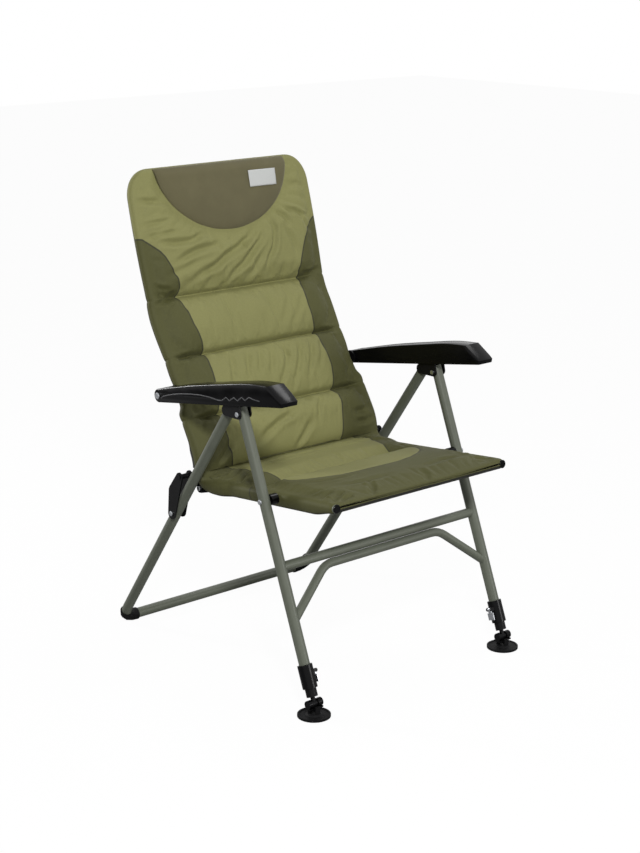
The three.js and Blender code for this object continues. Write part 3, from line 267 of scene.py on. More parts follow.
# Satin enamel over steel tube: faint orange peel of 2 mm, rubbed a little brighter in places
def enamelled_steel(name, colour):
    material, tree = new_material(name)
    place = add(tree, "ShaderNodeTexCoord").outputs["Object"]
    peel = add(tree, "ShaderNodeTexNoise", {"Vector": place, "Scale": 480.0, "Detail": 2.0})
    cloud = add(tree, "ShaderNodeTexNoise", {"Vector": place, "Scale": 14.0, "Detail": 4.0})
    colours = ramp(tree, cloud.outputs["Fac"], [(0.3, shade(colour, 0.92)), (0.7, shade(colour, 1.06))])
    rough = add(tree, "ShaderNodeMapRange", {"Value": cloud.outputs["Fac"], "From Min": 0.3, "From Max": 0.7,
                                             "To Min": 0.36, "To Max": 0.46})
    bump = add(tree, "ShaderNodeBump", {"Strength": 0.08, "Distance": 0.0004, "Height": peel.outputs["Fac"]})
    shader = add(tree, "ShaderNodeBsdfPrincipled", {
        "Base Color": colours, "Roughness": rough.outputs["Result"], "Normal": bump.outputs["Normal"],
        "Metallic": 0.0, "IOR": 1.5, "Specular IOR Level": 0.3, "Coat Weight": 0.05, "Coat Roughness": 0.15})
    close_material(tree, shader)
    return material


# Black moulded or coated surfaces: a fine grain of 1 to 2 mm, as coarse as it has to be to show, and a dull shine
def grained_black(name, colour, roughness, grain, depth, shine=0.12):
    material, tree = new_material(name)
    place = add(tree, "ShaderNodeTexCoord").outputs["Object"]
    pores = add(tree, "ShaderNodeTexNoise", {"Vector": place, "Scale": grain, "Detail": 3.0})
    cloud = add(tree, "ShaderNodeTexNoise", {"Vector": place, "Scale": 20.0, "Detail": 3.0})
    colours = ramp(tree, cloud.outputs["Fac"], [(0.3, shade(colour, 0.88)), (0.7, shade(colour, 1.15))])
    rough = add(tree, "ShaderNodeMapRange", {"Value": cloud.outputs["Fac"], "From Min": 0.3, "From Max": 0.7,
                                             "To Min": roughness - 0.05, "To Max": roughness + 0.06})
    bump = add(tree, "ShaderNodeBump", {"Strength": depth, "Distance": 0.0004, "Height": pores.outputs["Fac"]})
    shader = add(tree, "ShaderNodeBsdfPrincipled", {
        "Base Color": colours, "Roughness": rough.outputs["Result"], "Normal": bump.outputs["Normal"],
        "IOR": 1.5, "Specular IOR Level": shine})
    close_material(tree, shader)
    return material


# Zinc-plated steel: soft grey metal with short brushed marks
def zinc_plated_steel(name, colour):
    material, tree = new_material(name)
    place = add(tree, "ShaderNodeTexCoord").outputs["Object"]
    stretched = add(tree, "ShaderNodeMapping", {"Vector": place, "Scale": (300.0, 1500.0, 1500.0)})
    brush = add(tree, "ShaderNodeTexNoise", {"Vector": stretched.outputs["Vector"], "Scale": 1.0, "Detail": 2.0})
    rough = add(tree, "ShaderNodeMapRange", {"Value": brush.outputs["Fac"], "From Min": 0.3, "From Max": 0.7,
                                             "To Min": 0.24, "To Max": 0.42})
    colours = ramp(tree, brush.outputs["Fac"], [(0.3, shade(colour, 0.88)), (0.7, shade(colour, 1.05))])
    shader = add(tree, "ShaderNodeBsdfPrincipled", {
        "Base Color": colours, "Roughness": rough.outputs["Result"], "Metallic": 1.0})
    close_material(tree, shader)
    return material


# Satin-woven label: a smooth white face with a fine rib
def satin_label(name, colour):
    material, tree = new_material(name)
    place = add(tree, "ShaderNodeTexCoord").outputs["Object"]
    rib = add(tree, "ShaderNodeTexWave", {"Vector": place, "Scale": 320.0}, bands_direction="Z")
    colours = ramp(tree, rib.outputs["Fac"], [(0.2, shade(colour, 0.93)), (0.8, shade(colour, 1.02))])
    bump = add(tree, "ShaderNodeBump", {"Strength": 0.2, "Distance": 0.0002, "Height": rib.outputs["Fac"]})
    shader = add(tree, "ShaderNodeBsdfPrincipled", {
        "Base Color": colours, "Roughness": 0.55, "Normal": bump.outputs["Normal"]})
    close_material(tree, shader)
    return material


MATERIALS = {}


def finish_materials():
    """Makes every finish once, from the colours in the panel."""
    colours, _, _ = settings()
    MATERIALS.update({
        "cloth": woven_polyester("woven_polyester_olive", colours.light_cloth, colours.dark_cloth, colours.piping,
                                 colours.lining),
        "pillow": brushed_microfibre("brushed_microfibre_olive", colours.pillow_cloth),
        "label": satin_label("satin_woven_label", colours.label_cloth),
        "paint": enamelled_steel("enamelled_steel_grey_green", colours.tube_paint),
        # Moulded nylon from a fine mould: nearly smooth, with a clear highlight along its edges
        "nylon": grained_black("moulded_nylon_black", colours.black_plastic, 0.2, 900.0, 0.06),
        # The same nylon on its raised line, painted lighter grey as a painted highlight where the line catches the
        # light
        "relief": grained_black("moulded_nylon_relief_highlight", colours.relief_highlight_plastic, 0.4, 900.0, 0.12, 0.15),
        # Powder coat over pressed steel: duller, with a fine orange peel
        "coat": grained_black("powder_coated_steel_black", colours.black_coat, 0.42, 700.0, 0.3),
        # Moulded rubber: matt, with the coarsest grain
        "rubber": grained_black("moulded_rubber_black", colours.black_rubber, 0.62, 500.0, 0.4),
        "zinc": zinc_plated_steel("zinc_plated_steel", colours.zinc),
    })


# The cover's centre line, as points and directions on the side plane
def sampled(points):
    """A line through close points: distance along it and place."""
    points = np.asarray(points, float)
    steps = np.linalg.norm(np.diff(points, axis=0), axis=1)
    return np.concatenate([[0.0], np.cumsum(steps)]), points


def on_line(line, distance):
    """Place and front-facing normal at each distance along a sampled line, both as (y, z)."""
    reach, points = line

    def place_at(where):
        where = np.clip(where, reach[0], reach[-1])
        return np.stack([np.interp(where, reach, points[:, i]) for i in (0, 1)], -1)

    span = 0.005  # The direction is taken over this much of the line to each side
    direction = place_at(distance + span) - place_at(distance - span)
    direction /= np.linalg.norm(direction, axis=-1, keepdims=True)
    return place_at(distance), np.stack([-direction[..., 1], direction[..., 0]], -1)


def bend_points(start, corner, end, count=24):
    """Points on the curve that rounds off a corner."""
    t = np.linspace(0, 1, count)[:, None]
    return (1 - t) ** 2 * start + 2 * t * (1 - t) * corner + t ** 2 * end


def slope(degrees):
    """A step along the back: (y, z) for a lean back from upright."""
    return np.array([math.sin(math.radians(degrees)), math.cos(math.radians(degrees))])


# Degrees from upright of the back's lower and upper parts, and from level of the seat
LOWER_DEGREES, UPPER_DEGREES, SEAT_DEGREES = 30.8, 15.1, 5.7
LOWER_LEAN, UPPER_LEAN = slope(LOWER_DEGREES), slope(UPPER_DEGREES)
# The back's foot stands over its hinge; its lower part runs up to the knee, and its upper part on to the top bar
LOWER_LENGTH, UPPER_LENGTH, KNEE_RADIUS = 0.361, 0.329, 0.150
BACK_FOOT = HINGE + np.array([0.0, 0.070])
KNEE = BACK_FOOT + LOWER_LENGTH * LOWER_LEAN
BACK_TOP = KNEE + UPPER_LENGTH * UPPER_LEAN
KNEE_TRIM = KNEE_RADIUS * math.tan(math.radians(LOWER_DEGREES - UPPER_DEGREES) / 2)
# The seat's front end, the end of its rails and the corner to the back, from the seat's pivot
SEAT_ALONG = np.array([math.cos(math.radians(SEAT_DEGREES)), -math.sin(math.radians(SEAT_DEGREES))])
SEAT_FRONT, SEAT_REAR = -0.193, 0.176
SEAT_CORNER = SEAT_PIVOT + 0.2797 * SEAT_ALONG
# Where the round corner starts before SEAT_CORNER and ends over the back's foot, and how far the cover passes the bar
CORNER_TRIM, FOOT_TRIM, TOP_OVERHANG = 0.060, 0.028, 0.012
# The two covers meet here along the line, in a cut that slants back so that no light shows through
CREASE, CREASE_SLANT, SLANT_RUN = -0.033, 0.016, 0.035
HALF_GAP = 0.0002
# The lowest channel fills out slowly, so that the folded back leaves room for the seat
FOOT_RUN = 0.080
# Sewn cross seams: of the back along the line, and of the seat from its pivot
BACK_SEAMS = (0.0955, 0.2456, 0.393)
SEAT_SEAM = 0.093
# Half the thickness of the padding's rounded edge
EDGE = 0.0125


def cover_line():
    """The cover's middle plane from the seat's front, round the corner and up; nought is the back's foot."""
    start = SEAT_PIVOT + SEAT_FRONT * SEAT_ALONG
    turn = SEAT_CORNER - CORNER_TRIM * SEAT_ALONG
    low, high = KNEE - KNEE_TRIM * LOWER_LEAN, KNEE + KNEE_TRIM * UPPER_LEAN
    straight = np.linspace(0, 1, 60)[:, None]
    bend = bend_points(turn, SEAT_CORNER, BACK_FOOT, 40)
    above = BACK_FOOT + FOOT_TRIM * LOWER_LEAN
    reach, points = sampled(np.concatenate([
        start + straight * (turn - start), bend[1:-12], bend_points(bend[-12], BACK_FOOT, above),
        above + straight[1:] * (low - above), bend_points(low, KNEE, high)[1:],
        high + straight[1:] * (BACK_TOP + TOP_OVERHANG * UPPER_LEAN - high)]))
    at_low = reach[np.argmin(np.linalg.norm(points - low, axis=1))]
    return reach - at_low + LOWER_LENGTH - KNEE_TRIM, points


LINE = cover_line()
TOP = LINE[0][-1]
SEAT_START = LINE[0][0]

# Panel borders, as (distance along, distance from the middle) in millimetres, mirrored to both sides
BACK_BORDER = [(-90, 150), (-45, 155), (20, 165), (80, 177), (119, 179), (151, 181), (200, 179), (246, 184),
               (262, 181), (277, 178), (315, 175), (350, 178), (375, 184), (393, 190), (412, 185), (437, 190),
               (465, 202), (490, 214), (505, 226), (522, 244), (537, 262), (543, 290)]
SEAT_BORDER = [(-50, 0), (-49, 60), (-41, 110), (-22, 150), (-2, 176), (14, 190), (34, 200), (58, 198), (78, 184),
               (92, 170), (108, 172), (130, 180), (170, 190), (215, 200), (300, 196), (400, 160)]
# The light panel's extra width on the back's right side, as (along, width) in millimetres
RIGHT_SIDE_WIDTH = [(-33, 26), (20, 26), (60, 20), (90, 6), (120, 0), (205, -8), (246, -20), (280, -8), (315, 4),
                    (360, 4), (393, 0)]

# Folds pulled into the cloth: depth, half width, then a path of (across, along), all in millimetres
BACK_FOLDS = (
    (3.5, 9, (-193, 470), (-158, 484), (-123, 494), (-77, 499), (-39, 506)),
    (5.0, 10, (-176, 412), (-113, 442), (-79, 450), (-44, 470), (4, 489), (39, 507), (60, 524)),
    (4.6, 9, (-50, 400), (-22, 431), (14, 451), (40, 473), (67, 494), (95, 522)),
    (4.2, 8, (76, 424), (93, 454), (110, 475), (116, 494), (122, 526), (114, 556)),
    (3.2, 6, (-262, 537), (-230, 540), (-195, 543), (-160, 545)),
    (3.6, 8, (-236, 528), (-186, 518), (-142, 518), (-110, 526), (-80, 536)),
    (3.2, 6, (-268, 566), (-238, 571), (-209, 571), (-170, 575)),
    (3.0, 7, (-264, 625), (-240, 626), (-195, 616)),
    (4.0, 7, (136, 566), (159, 547), (166, 526)),
    (-2.4, 6, (160, 580), (204, 562), (245, 546)),
    (2.4, 8, (150, 522), (170, 490), (182, 450)),
    (2.6, 7, (196, 560), (216, 536), (232, 512)),
    (2.4, 9, (20, 412), (46, 436), (76, 470)),
    (2.2, 9, (-212, 446), (-168, 458), (-120, 470)),
    (4.2, 8, (-268, 412), (-232, 402), (-192, 396)),
    (3.4, 7, (-270, 432), (-236, 418), (-205, 410)),
    (3.2, 7, (268, 410), (232, 402), (196, 397)),
    (3.0, 6, (-268, 380), (-240, 386), (-206, 390)),
    (2.4, 8, (27, 230), (8, 188), (-12, 148)),
    (2.8, 8, (76, 228), (44, 172), (9, 122)),
    (2.8, 8, (118, 226), (86, 170), (52, 120)),
    (2.6, 7, (150, 224), (128, 172), (102, 130)),
    (2.2, 6, (180, 226), (165, 186), (144, 150)),
    (2.2, 7, (-8, 230), (-24, 196), (-40, 164)),
    (2.0, 7, (-40, 232), (-58, 196), (-76, 160)),
    (1.8, 8, (-96, 228), (-112, 190), (-124, 150)),
    (1.4, 9, (175, 352), (146, 310), (115, 275)),
    (1.2, 9, (124, 344), (100, 306), (79, 276)),
    (3.8, 9, (-100, 8), (-66, 26), (-32, 41), (42, 61)),
    (3.2, 9, (10, -22), (40, 4), (72, 30)),
    (3.0, 8, (-176, 26), (-204, 2), (-230, -20)),
    (3.2, 7, (270, 34), (236, 24), (204, 26)),
    (3.4, 6, (272, 8), (240, 0), (206, 4)),
    (2.6, 7, (120, 78), (98, 52), (84, 18)),
    (3.2, 7, (-270, 86), (-240, 90), (-204, 90)),
    (3.0, 7, (-270, 240), (-236, 242), (-200, 243)),
    (3.0, 7, (270, 240), (236, 242), (200, 243)),
    (3.0, 7, (270, 88), (240, 92), (204, 92)),
)
SEAT_FOLDS = (
    (2.6, 8, (-262, 150), (-226, 164), (-190, 186)),
    (2.8, 7, (-264, 118), (-236, 128), (-204, 134)),
    (2.4, 7, (-264, 60), (-240, 66), (-214, 66)),
    (2.6, 8, (262, 150), (226, 166), (190, 190)),
    (2.4, 7, (264, 112), (238, 122), (210, 126)),
    (2.4, 7, (264, 40), (240, 46), (212, 44)),
    (2.6, 8, (-262, -180), (-226, -158), (-196, -146)),
    (2.4, 7, (-240, -188), (-214, -172), (-180, -166)),
    (2.4, 8, (262, -182), (230, -160), (198, -150)),
    (1.8, 10, (-180, -110), (-110, -126), (-30, -122)),
    (1.6, 10, (60, -130), (130, -118), (190, -124)),
    (1.8, 9, (-200, -40), (-150, -58), (-90, -66)),
    (2.2, 9, (-140, 196), (-60, 204), (40, 200)),
    (4.2, 8, (264, 214), (232, 200), (192, 208)),
    (4.0, 7, (266, 246), (236, 228), (200, 228)),
    (3.4, 7, (240, 258), (212, 246), (176, 240)),
    (4.0, 8, (-266, 196), (-236, 190), (-198, 204)),
    (3.8, 7, (-266, 228), (-236, 218), (-200, 226)),
    (3.0, 7, (-262, -140), (-236, -128), (-205, -124)),
    (2.6, 8, (-150, -186), (-120, -160), (-104, -128)),
    (2.4, 8, (250, -150), (222, -120), (206, -84)),
    (2.2, 9, (20, -188), (40, -160), (44, -130)),
    (2.0, 9, (60, 214), (130, 206), (190, 212)),
)


def distance_to_path(here, path):
    """Least distance to a path of points, and how far along the path that is, from 0 to 1."""
    best, share = np.full(here.shape[:-1], 1e9), np.zeros(here.shape[:-1])
    for i, (first, second) in enumerate(zip(path[:-1], path[1:])):
        step = second - first
        t = np.clip(((here - first) @ step) / (step @ step), 0, 1)
        apart = np.linalg.norm(here - first - t[..., None] * step, axis=-1)
        share = np.where(apart < best, (i + t) / (len(path) - 1), share)
        best = np.minimum(best, apart)
    return best, share


def distance_to_border(across, along, border, extra=((0, 0),)):
    """Distance in metres from the sewn border; above zero on the light panel."""
    path = np.array([(b * MM, a * MM) for a, b in border])
    place, width = np.array(extra, float).T * MM
    beside = np.abs(across) - (across < 0) * np.interp(along, place, width)
    apart, _ = distance_to_path(np.stack([beside, along], -1), path)
    half_width = np.interp(along, path[:, 1], path[:, 0], left=0.0, right=1.0)
    return np.where(beside < half_width, apart, -apart)


def fold_field(across, along, folds):
    """Height of the cloth over its smooth form: valleys with a soft ridge on either side."""
    height = np.zeros(across.shape)
    here = np.stack([across, along], -1)
    for depth, width, *path in folds:  # A fold is deepest half way and fades to its two ends
        apart, share = distance_to_path(here, np.array(path) * MM)
        apart = apart / (0.85 * width * MM)
        fade = np.clip(np.sin(math.pi * np.clip(share, 0.04, 0.96)) * 1.5, 0, 1)
        height += depth * MM * fade * (0.42 * np.exp(-((apart - 1.7) / 0.8) ** 2) - np.exp(-apart ** 2))
    return height


def smooth_noise(x, y, scale, seed):
    """Smooth noise from -1 to 1 over a sheet, the same in each run."""
    flat = [noise.noise(Vector((a * scale, b * scale, seed))) for a, b in zip(np.ravel(x), np.ravel(y))]
    return np.array(flat).reshape(np.shape(x))


def eased(value, start, end):
    """0 before start and 1 after end, with a smooth run between them."""
    t = np.clip((value - start) / (end - start), 0, 1)
    return t * t * (3 - 2 * t)


def near_seams(along, seams, width):
    """How near each distance is to a seam: 1 on it, falling to 0."""
    near = np.zeros_like(along)
    for seam in seams:
        near = np.maximum(near, np.exp(-((along - seam) / width) ** 2))
    return near


def with_seam_rows(along, seams):
    """The rows with one on each seam and one close to it on either side."""
    close = 0.0024  # Half the width of a seam's valley floor
    keep = np.all([np.abs(along - seam) > 1.6 * close for seam in seams], axis=0)
    return np.sort(np.concatenate([along[keep]] + [[seam - close, seam, seam + close] for seam in seams]))


def puffed(along, seams):
    """Fullness between two seams: 0 on a seam and 1 half way."""
    full = np.zeros_like(along)
    for first, second in zip(seams[:-1], seams[1:]):
        t = (along - first) / (second - first)
        full = np.where((t >= 0) & (t <= 1), np.abs(np.sin(math.pi * np.clip(t, 0, 1))) ** 0.45, full)
    return full


# Columns of points over a panel's rear, and round each of its side edges
REAR_COLUMNS, SIDE_COLUMNS = 33, 7
# From this far out the frame's tube stands right behind the cloth, and the folds there go no deeper than this
TUBE_INSIDE, TUBE_DEPTH = 0.246, 0.0012


class Panel:
    """A closed padded panel on the cover's line: rows run along the line, columns once round the section."""

    def __init__(self, name, along, half_width, edge, front_rise, drop, grid):
        self.half_width, self.edge = half_width, edge
        fronts = np.linspace(-1, 1, int(2 * (float(np.max(half_width)) - EDGE) / grid) + 1)
        rears = np.sin(np.linspace(1, -1, REAR_COLUMNS) * math.pi / 2)
        arc = np.linspace(0, math.pi, SIDE_COLUMNS + 2)[1:-1]
        side = np.ones(SIDE_COLUMNS)
        across = np.concatenate([fronts, side, rears, -side])
        outward = np.concatenate([0 * fronts, np.sin(arc), 0 * rears, -np.sin(arc)])
        level = np.concatenate([1 + 0 * fronts, np.cos(arc), -1 + 0 * rears, np.cos(arc[::-1])])
        self.face = np.concatenate([1 + 0 * fronts, 0 * side, -1 + 0 * rears, 0 * side])[None, :]
        self.level = level[None, :]
        rows, columns = len(along), len(level)
        self.x = across[None, :] * (half_width - edge)[:, None] + outward[None, :] * edge[:, None]
        slant = CREASE_SLANT * near_seams(along, (CREASE,), SLANT_RUN)
        self.s = along[:, None] + slant[:, None] * (1 - level)[None, :] / 2
        rise = level[None, :] * edge[:, None] + np.minimum(level, 0)[None, :] * drop(self.x, self.s)
        rise = rise + np.where(self.face > 0, front_rise(self.x, self.s), 0)
        place, self.normal = on_line(LINE, self.s)
        points = np.concatenate([self.x[..., None], place + rise[..., None] * self.normal], -1)
        start = np.arange(rows - 1)[:, None] * columns
        ring, after = np.arange(columns)[None, :], (np.arange(columns)[None, :] + 1) % columns
        faces = np.stack([start + ring, start + after, start + columns + after, start + columns + ring], -1)
        mesh = bpy.data.meshes.new(name)
        mesh.from_pydata(points.reshape(-1, 3).tolist(), [], faces.reshape(-1, 4).tolist())
        made = bmesh.new()
        made.from_mesh(mesh)
        made.verts.ensure_lookup_table()
        caps = [bmesh.ops.contextual_create(made, geom=[made.verts[r * columns + c] for c in range(columns)])
                for r in (0, rows - 1)]
        bmesh.ops.triangulate(made, faces=[face for cap in caps for face in cap["faces"]])
        bmesh.ops.recalc_face_normals(made, faces=made.faces)
        made.to_mesh(mesh)
        made.free()
        smooth_faces(mesh)
        self.piece = bpy.data.objects.new(name, mesh)
        bpy.context.collection.objects.link(self.piece)

    def write_maps(self, border, lining_level):
        """Stores the flat cloth as a UV map and the distance from the sewn border as an attribute."""
        mesh = self.piece.data
        flat = np.stack([self.x.ravel(), self.s.ravel()], -1)
        corners = np.zeros(len(mesh.loops), np.int64)
        mesh.loops.foreach_get("vertex_index", corners)
        mesh.uv_layers.new(name="cloth").data.foreach_set("uv", flat[corners].astype(np.float32).ravel())
        border = np.where(self.level < lining_level, LINING_MARK, np.maximum(border, DARK_MARK))
        attribute = mesh.attributes.new("panel_edge", "FLOAT", "POINT")
        attribute.data.foreach_set("value", border.astype(np.float32).ravel())

    def held(self, seams, ends, run):
        """1 where the stuffing is sewn or strapped down, so that only the front's channels fill out."""
        width = (self.half_width - self.edge)[:, None]
        hold = np.where(self.face > 0, 0.0, 1.0) * np.ones_like(self.x)
        hold = np.maximum(hold, np.clip((np.abs(self.x) / width - 0.93) / 0.05, 0, 1))
        hold = np.maximum(hold, np.clip(near_seams(self.s, seams, 0.007) * 1.6 - 0.3, 0, 1))
        hold = np.maximum(hold, 1 - eased(self.s, ends[0], ends[0] + run))
        return np.maximum(hold, eased(self.s, ends[1] - 0.03, ends[1] - 0.012))

    def lift(self, height):
        """Moves the front face along its normal."""
        width = (self.half_width - self.edge)[:, None]
        middle = np.clip((1.012 - np.abs(self.x / width)) / 0.05, 0, 1)
        deepest = -TUBE_DEPTH - 0.6 * np.clip(TUBE_INSIDE - np.abs(self.x), 0, 0.04)
        move = (np.maximum(height, deepest) * middle * (self.face > 0))[..., None] * self.normal
        shift = np.concatenate([np.zeros_like(self.x)[..., None], move], -1)
        put_coordinates(self.piece, coordinates(self.piece) + shift.reshape(-1, 3))


def smooth_faces(mesh):
    """Shades all faces smooth."""
    mesh.polygons.foreach_set("use_smooth", [True] * len(mesh.polygons))


def coordinates(piece):
    """The piece's points, one in each row."""
    co = np.zeros(len(piece.data.vertices) * 3)
    piece.data.vertices.foreach_get("co", co)
    return co.reshape(-1, 3)


def put_coordinates(piece, co):
    """Moves the piece's points."""
    piece.data.vertices.foreach_set("co", co.astype(np.float32).ravel())
    piece.data.update()


CLOTH_FRAMES = 20


def inflate(piece, held, reach, growth):
    """Runs the cloth simulation on a panel held where its weight is 1, and caps how far a point moves."""
    start = coordinates(piece)
    group = piece.vertex_groups.new(name="held")
    for weight in np.unique(np.round(held, 2)):
        members = np.nonzero(np.round(held, 2) == weight)[0]
        if weight > 0:
            group.add(members.tolist(), float(weight), "REPLACE")
    modifier = piece.modifiers.new("Cloth", "CLOTH")
    cloth = modifier.settings
    cloth.quality = 5
    cloth.mass = 0.25
    cloth.tension_stiffness = 18
    cloth.compression_stiffness = 12
    cloth.shear_stiffness = 6
    cloth.bending_stiffness = 0.35
    cloth.air_damping = 2
    cloth.vertex_group_mass = "held"
    cloth.use_pressure = True
    cloth.uniform_pressure_force = 4.0
    cloth.shrink_min = -growth
    cloth.effector_weights.gravity = 0
    modifier.point_cache.frame_start = 1
    modifier.point_cache.frame_end = CLOTH_FRAMES
    scene = bpy.context.scene
    for number in range(1, CLOTH_FRAMES + 1):
        scene.frame_set(number)
    evaluated = piece.evaluated_get(bpy.context.evaluated_depsgraph_get())
    co = np.zeros(len(evaluated.data.vertices) * 3)
    evaluated.data.vertices.foreach_get("co", co)
    moved = co.reshape(-1, 3) - start
    piece.modifiers.remove(modifier)
    scene.frame_set(1)
    length = np.linalg.norm(moved, axis=1, keepdims=True)
    moved *= np.minimum(1, reach / np.maximum(length, 1e-9))
    moved *= (1 - held)[:, None]
    put_coordinates(piece, start + moved)


def select_only(piece=None):
    """Deselects all, and selects the piece if one is given."""
    for other in bpy.context.view_layer.objects:
        other.select_set(False)
    if piece:
        piece.select_set(True)
        bpy.context.view_layer.objects.active = piece


def subdivide_once(piece):
    """One applied subdivision, which keeps the maps."""
    select_only(piece)
    modifier = piece.modifiers.new("Subdivision", "SUBSURF")
    modifier.levels = modifier.render_levels = 1
    bpy.ops.object.modifier_apply(modifier=modifier.name)


# The head rest's half width, its depth down the back, its dome's rise and the run of its rolled top
PILLOW_HALF, PILLOW_DEPTH, PILLOW_RISE, PILLOW_ROLL = 0.198, 0.165, 0.026, 0.026
PILLOW_TOP = TOP - 0.003
# Heights over the back's middle plane of the pillow's rim and of its rear
PILLOW_RIM, PILLOW_REAR = 0.0185, 0.0165
# The label's middle below the pillow's top, its height over the pillow and its thickness
LABEL_DEPTH, LABEL_GAP, LABEL_THICKNESS = 0.051, 0.0014, 0.0009


def pillow_radius(x, s):
    """1 on the pillow's half-moon outline and less inside."""
    return np.sqrt((x / PILLOW_HALF) ** 2 + ((PILLOW_TOP - s) / PILLOW_DEPTH) ** 2)


def pillow_surface(x, s):
    """Height of the pillow's face over the back's middle plane."""
    dome = np.sqrt(np.clip(1 - np.clip(pillow_radius(x, s), 0, 1) ** 2.6, 0, 1))
    roll = np.sqrt(1 - (1 - np.clip((PILLOW_TOP - s) / PILLOW_ROLL, 0, 1)) ** 2)
    return (PILLOW_RIM + PILLOW_RISE * dome) * (0.3 + 0.7 * roll)


# Half widths of the covers: the back's at its seams, the seat's at its rails, and the most that either may have
BACK_HALF, SEAT_HALF, WIDEST_HALF = 0.2675, 0.2685, 0.2832
# Along the back: the armrest's bolt, which holds the side in, and the run below which it widens over the hinge plates
ARM_BOLT_AT, PLATE_RUN = 0.1676, (0.110, 0.134)
# Depth of the back's rounded top corners
CORNER_DEPTH = 0.067
# How far from a seam and from the crease the cloth is drawn in, and by how much at the crease and the seat's seam
SEAM_REACH, CREASE_REACH, CREASE_DRAW, SEAT_SEAM_DRAW = 0.0042, 0.012, 0.006, 0.007
# The padding lies this much under its edge where it isn't puffed
SINK = 0.004
# Across, the run in which the underside drops past the tubes
SIDE_RUN = (0.238, 0.252)


def back_half_width(along, seams, side_bulge):
    """Half width of the back cover at each distance along it."""
    bulge = side_bulge * (1 - 0.7 * near_seams(along, (ARM_BOLT_AT,), 0.03))
    half_width = BACK_HALF + 0.0015 * near_seams(along, BACK_SEAMS, 0.02) + bulge * puffed(along, seams)
    half_width += 0.0115 * (1 - eased(along, *PLATE_RUN))
    # A little more over the hinge bolts and at the crease
    half_width += 0.0045 * near_seams(along, (-0.005,), 0.03) + 0.006 * near_seams(along, (CREASE,), 0.02)
    into = np.clip(along - (TOP - CORNER_DEPTH), 0, CORNER_DEPTH)
    corner = CORNER_DEPTH - np.sqrt(CORNER_DEPTH ** 2 - into ** 2)
    return np.minimum(half_width, WIDEST_HALF) - 0.85 * corner


def rounded_end(left, least):
    """Half thickness of the edge where it closes in a round towards the panel's end."""
    return np.sqrt(np.maximum(EDGE ** 2 - np.maximum(EDGE - left, 0) ** 2, (least * EDGE) ** 2))


def fullness(x, width):
    """How full the padding is across a panel: 1 in the middle, falling to 0 where its edge starts."""
    return np.clip(1 - np.abs(x / (width - EDGE)) ** 4, 0, 1)


def border_sink(border):
    """The stitched border lies a little deeper than the cloth beside it."""
    return 0.0016 * np.exp(-(border / 0.0035) ** 2)


class CARPCHAIR_OT_back_cover(bpy.types.Operator):
    """Padded back cover with its sewn channels"""
    bl_idname = "carp_chair.back_cover"
    bl_label = "Back Cover"

    def execute(self, context):
        _, cover, _ = settings()
        seams = (CREASE,) + BACK_SEAMS + (TOP,)
        foot = CREASE + HALF_GAP
        rows = int((TOP - foot) / cover.grid)
        round_off = np.sin(np.linspace(0.2, 1, 5) * math.pi / 2)
        along = np.concatenate([np.linspace(foot, TOP - EDGE, rows), TOP - EDGE + EDGE * round_off])
        along = with_seam_rows(along, BACK_SEAMS)
        edge = rounded_end(TOP - along, 0.12) + 0.002 * (1 - eased(along, 0.05, 0.08))
        half_width = back_half_width(along, seams, cover.side_bulge)

        def middle(x, s):
            return fullness(x, np.interp(s, along, half_width))

        def front_rise(x, s):
            fade = np.interp(s, along, edge) / EDGE * eased(s, CREASE - 0.01, CREASE + FOOT_RUN)
            rise = middle(x, s) * fade * (cover.back_crown * puffed(s, seams) - SINK)
            draw = cover.seam_draw * fade * near_seams(s, BACK_SEAMS, SEAM_REACH)
            draw = draw + CREASE_DRAW * near_seams(s, (CREASE,), CREASE_REACH)
            return rise - draw * np.clip(middle(x, s) * 1.8 - 0.25, 0, 1)

        def drop(x, s):
            """The sides hang down over the hinge plates."""
            return 0.011 * eased(np.abs(x), *SIDE_RUN) * (1 - eased(s, 0.02, 0.05)) - SINK * middle(x, s)

        panel = Panel("back_cover", along, half_width, edge, front_rise, drop, cover.grid)
        border = distance_to_border(panel.x, panel.s, BACK_BORDER, RIGHT_SIDE_WIDTH)
        panel.write_maps(border, lining_level=-0.35)
        under_pillow = (panel.face > 0) * (1 - eased(pillow_radius(panel.x, panel.s), 0.97, 1.1))
        held = np.maximum(panel.held(BACK_SEAMS, (CREASE, TOP), FOOT_RUN), under_pillow)
        inflate(panel.piece, held.ravel(), cover.cloth_reach, growth=0.035)
        puckers = smooth_noise(panel.x, panel.s * 0.35, 42.0, 3.0) * near_seams(panel.s, BACK_SEAMS, 0.024)
        ripples = smooth_noise(panel.x * 0.7, panel.s, 17.0, 9.0)
        panel.lift(fold_field(panel.x, panel.s, BACK_FOLDS) * cover.fold_scale + puckers * cover.pucker
                   + ripples * 0.0012 - border_sink(border))
        subdivide_once(panel.piece)
        panel.piece.data.materials.append(MATERIALS["cloth"])
        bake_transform(panel.piece, "back_hinge", "back", start=(0, *on_line(LINE, np.array(CREASE))[0]),
                 end=(0, *(BACK_FOOT + 0.085 * LOWER_LEAN)))
        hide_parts("back_pad")
        return {"FINISHED"}


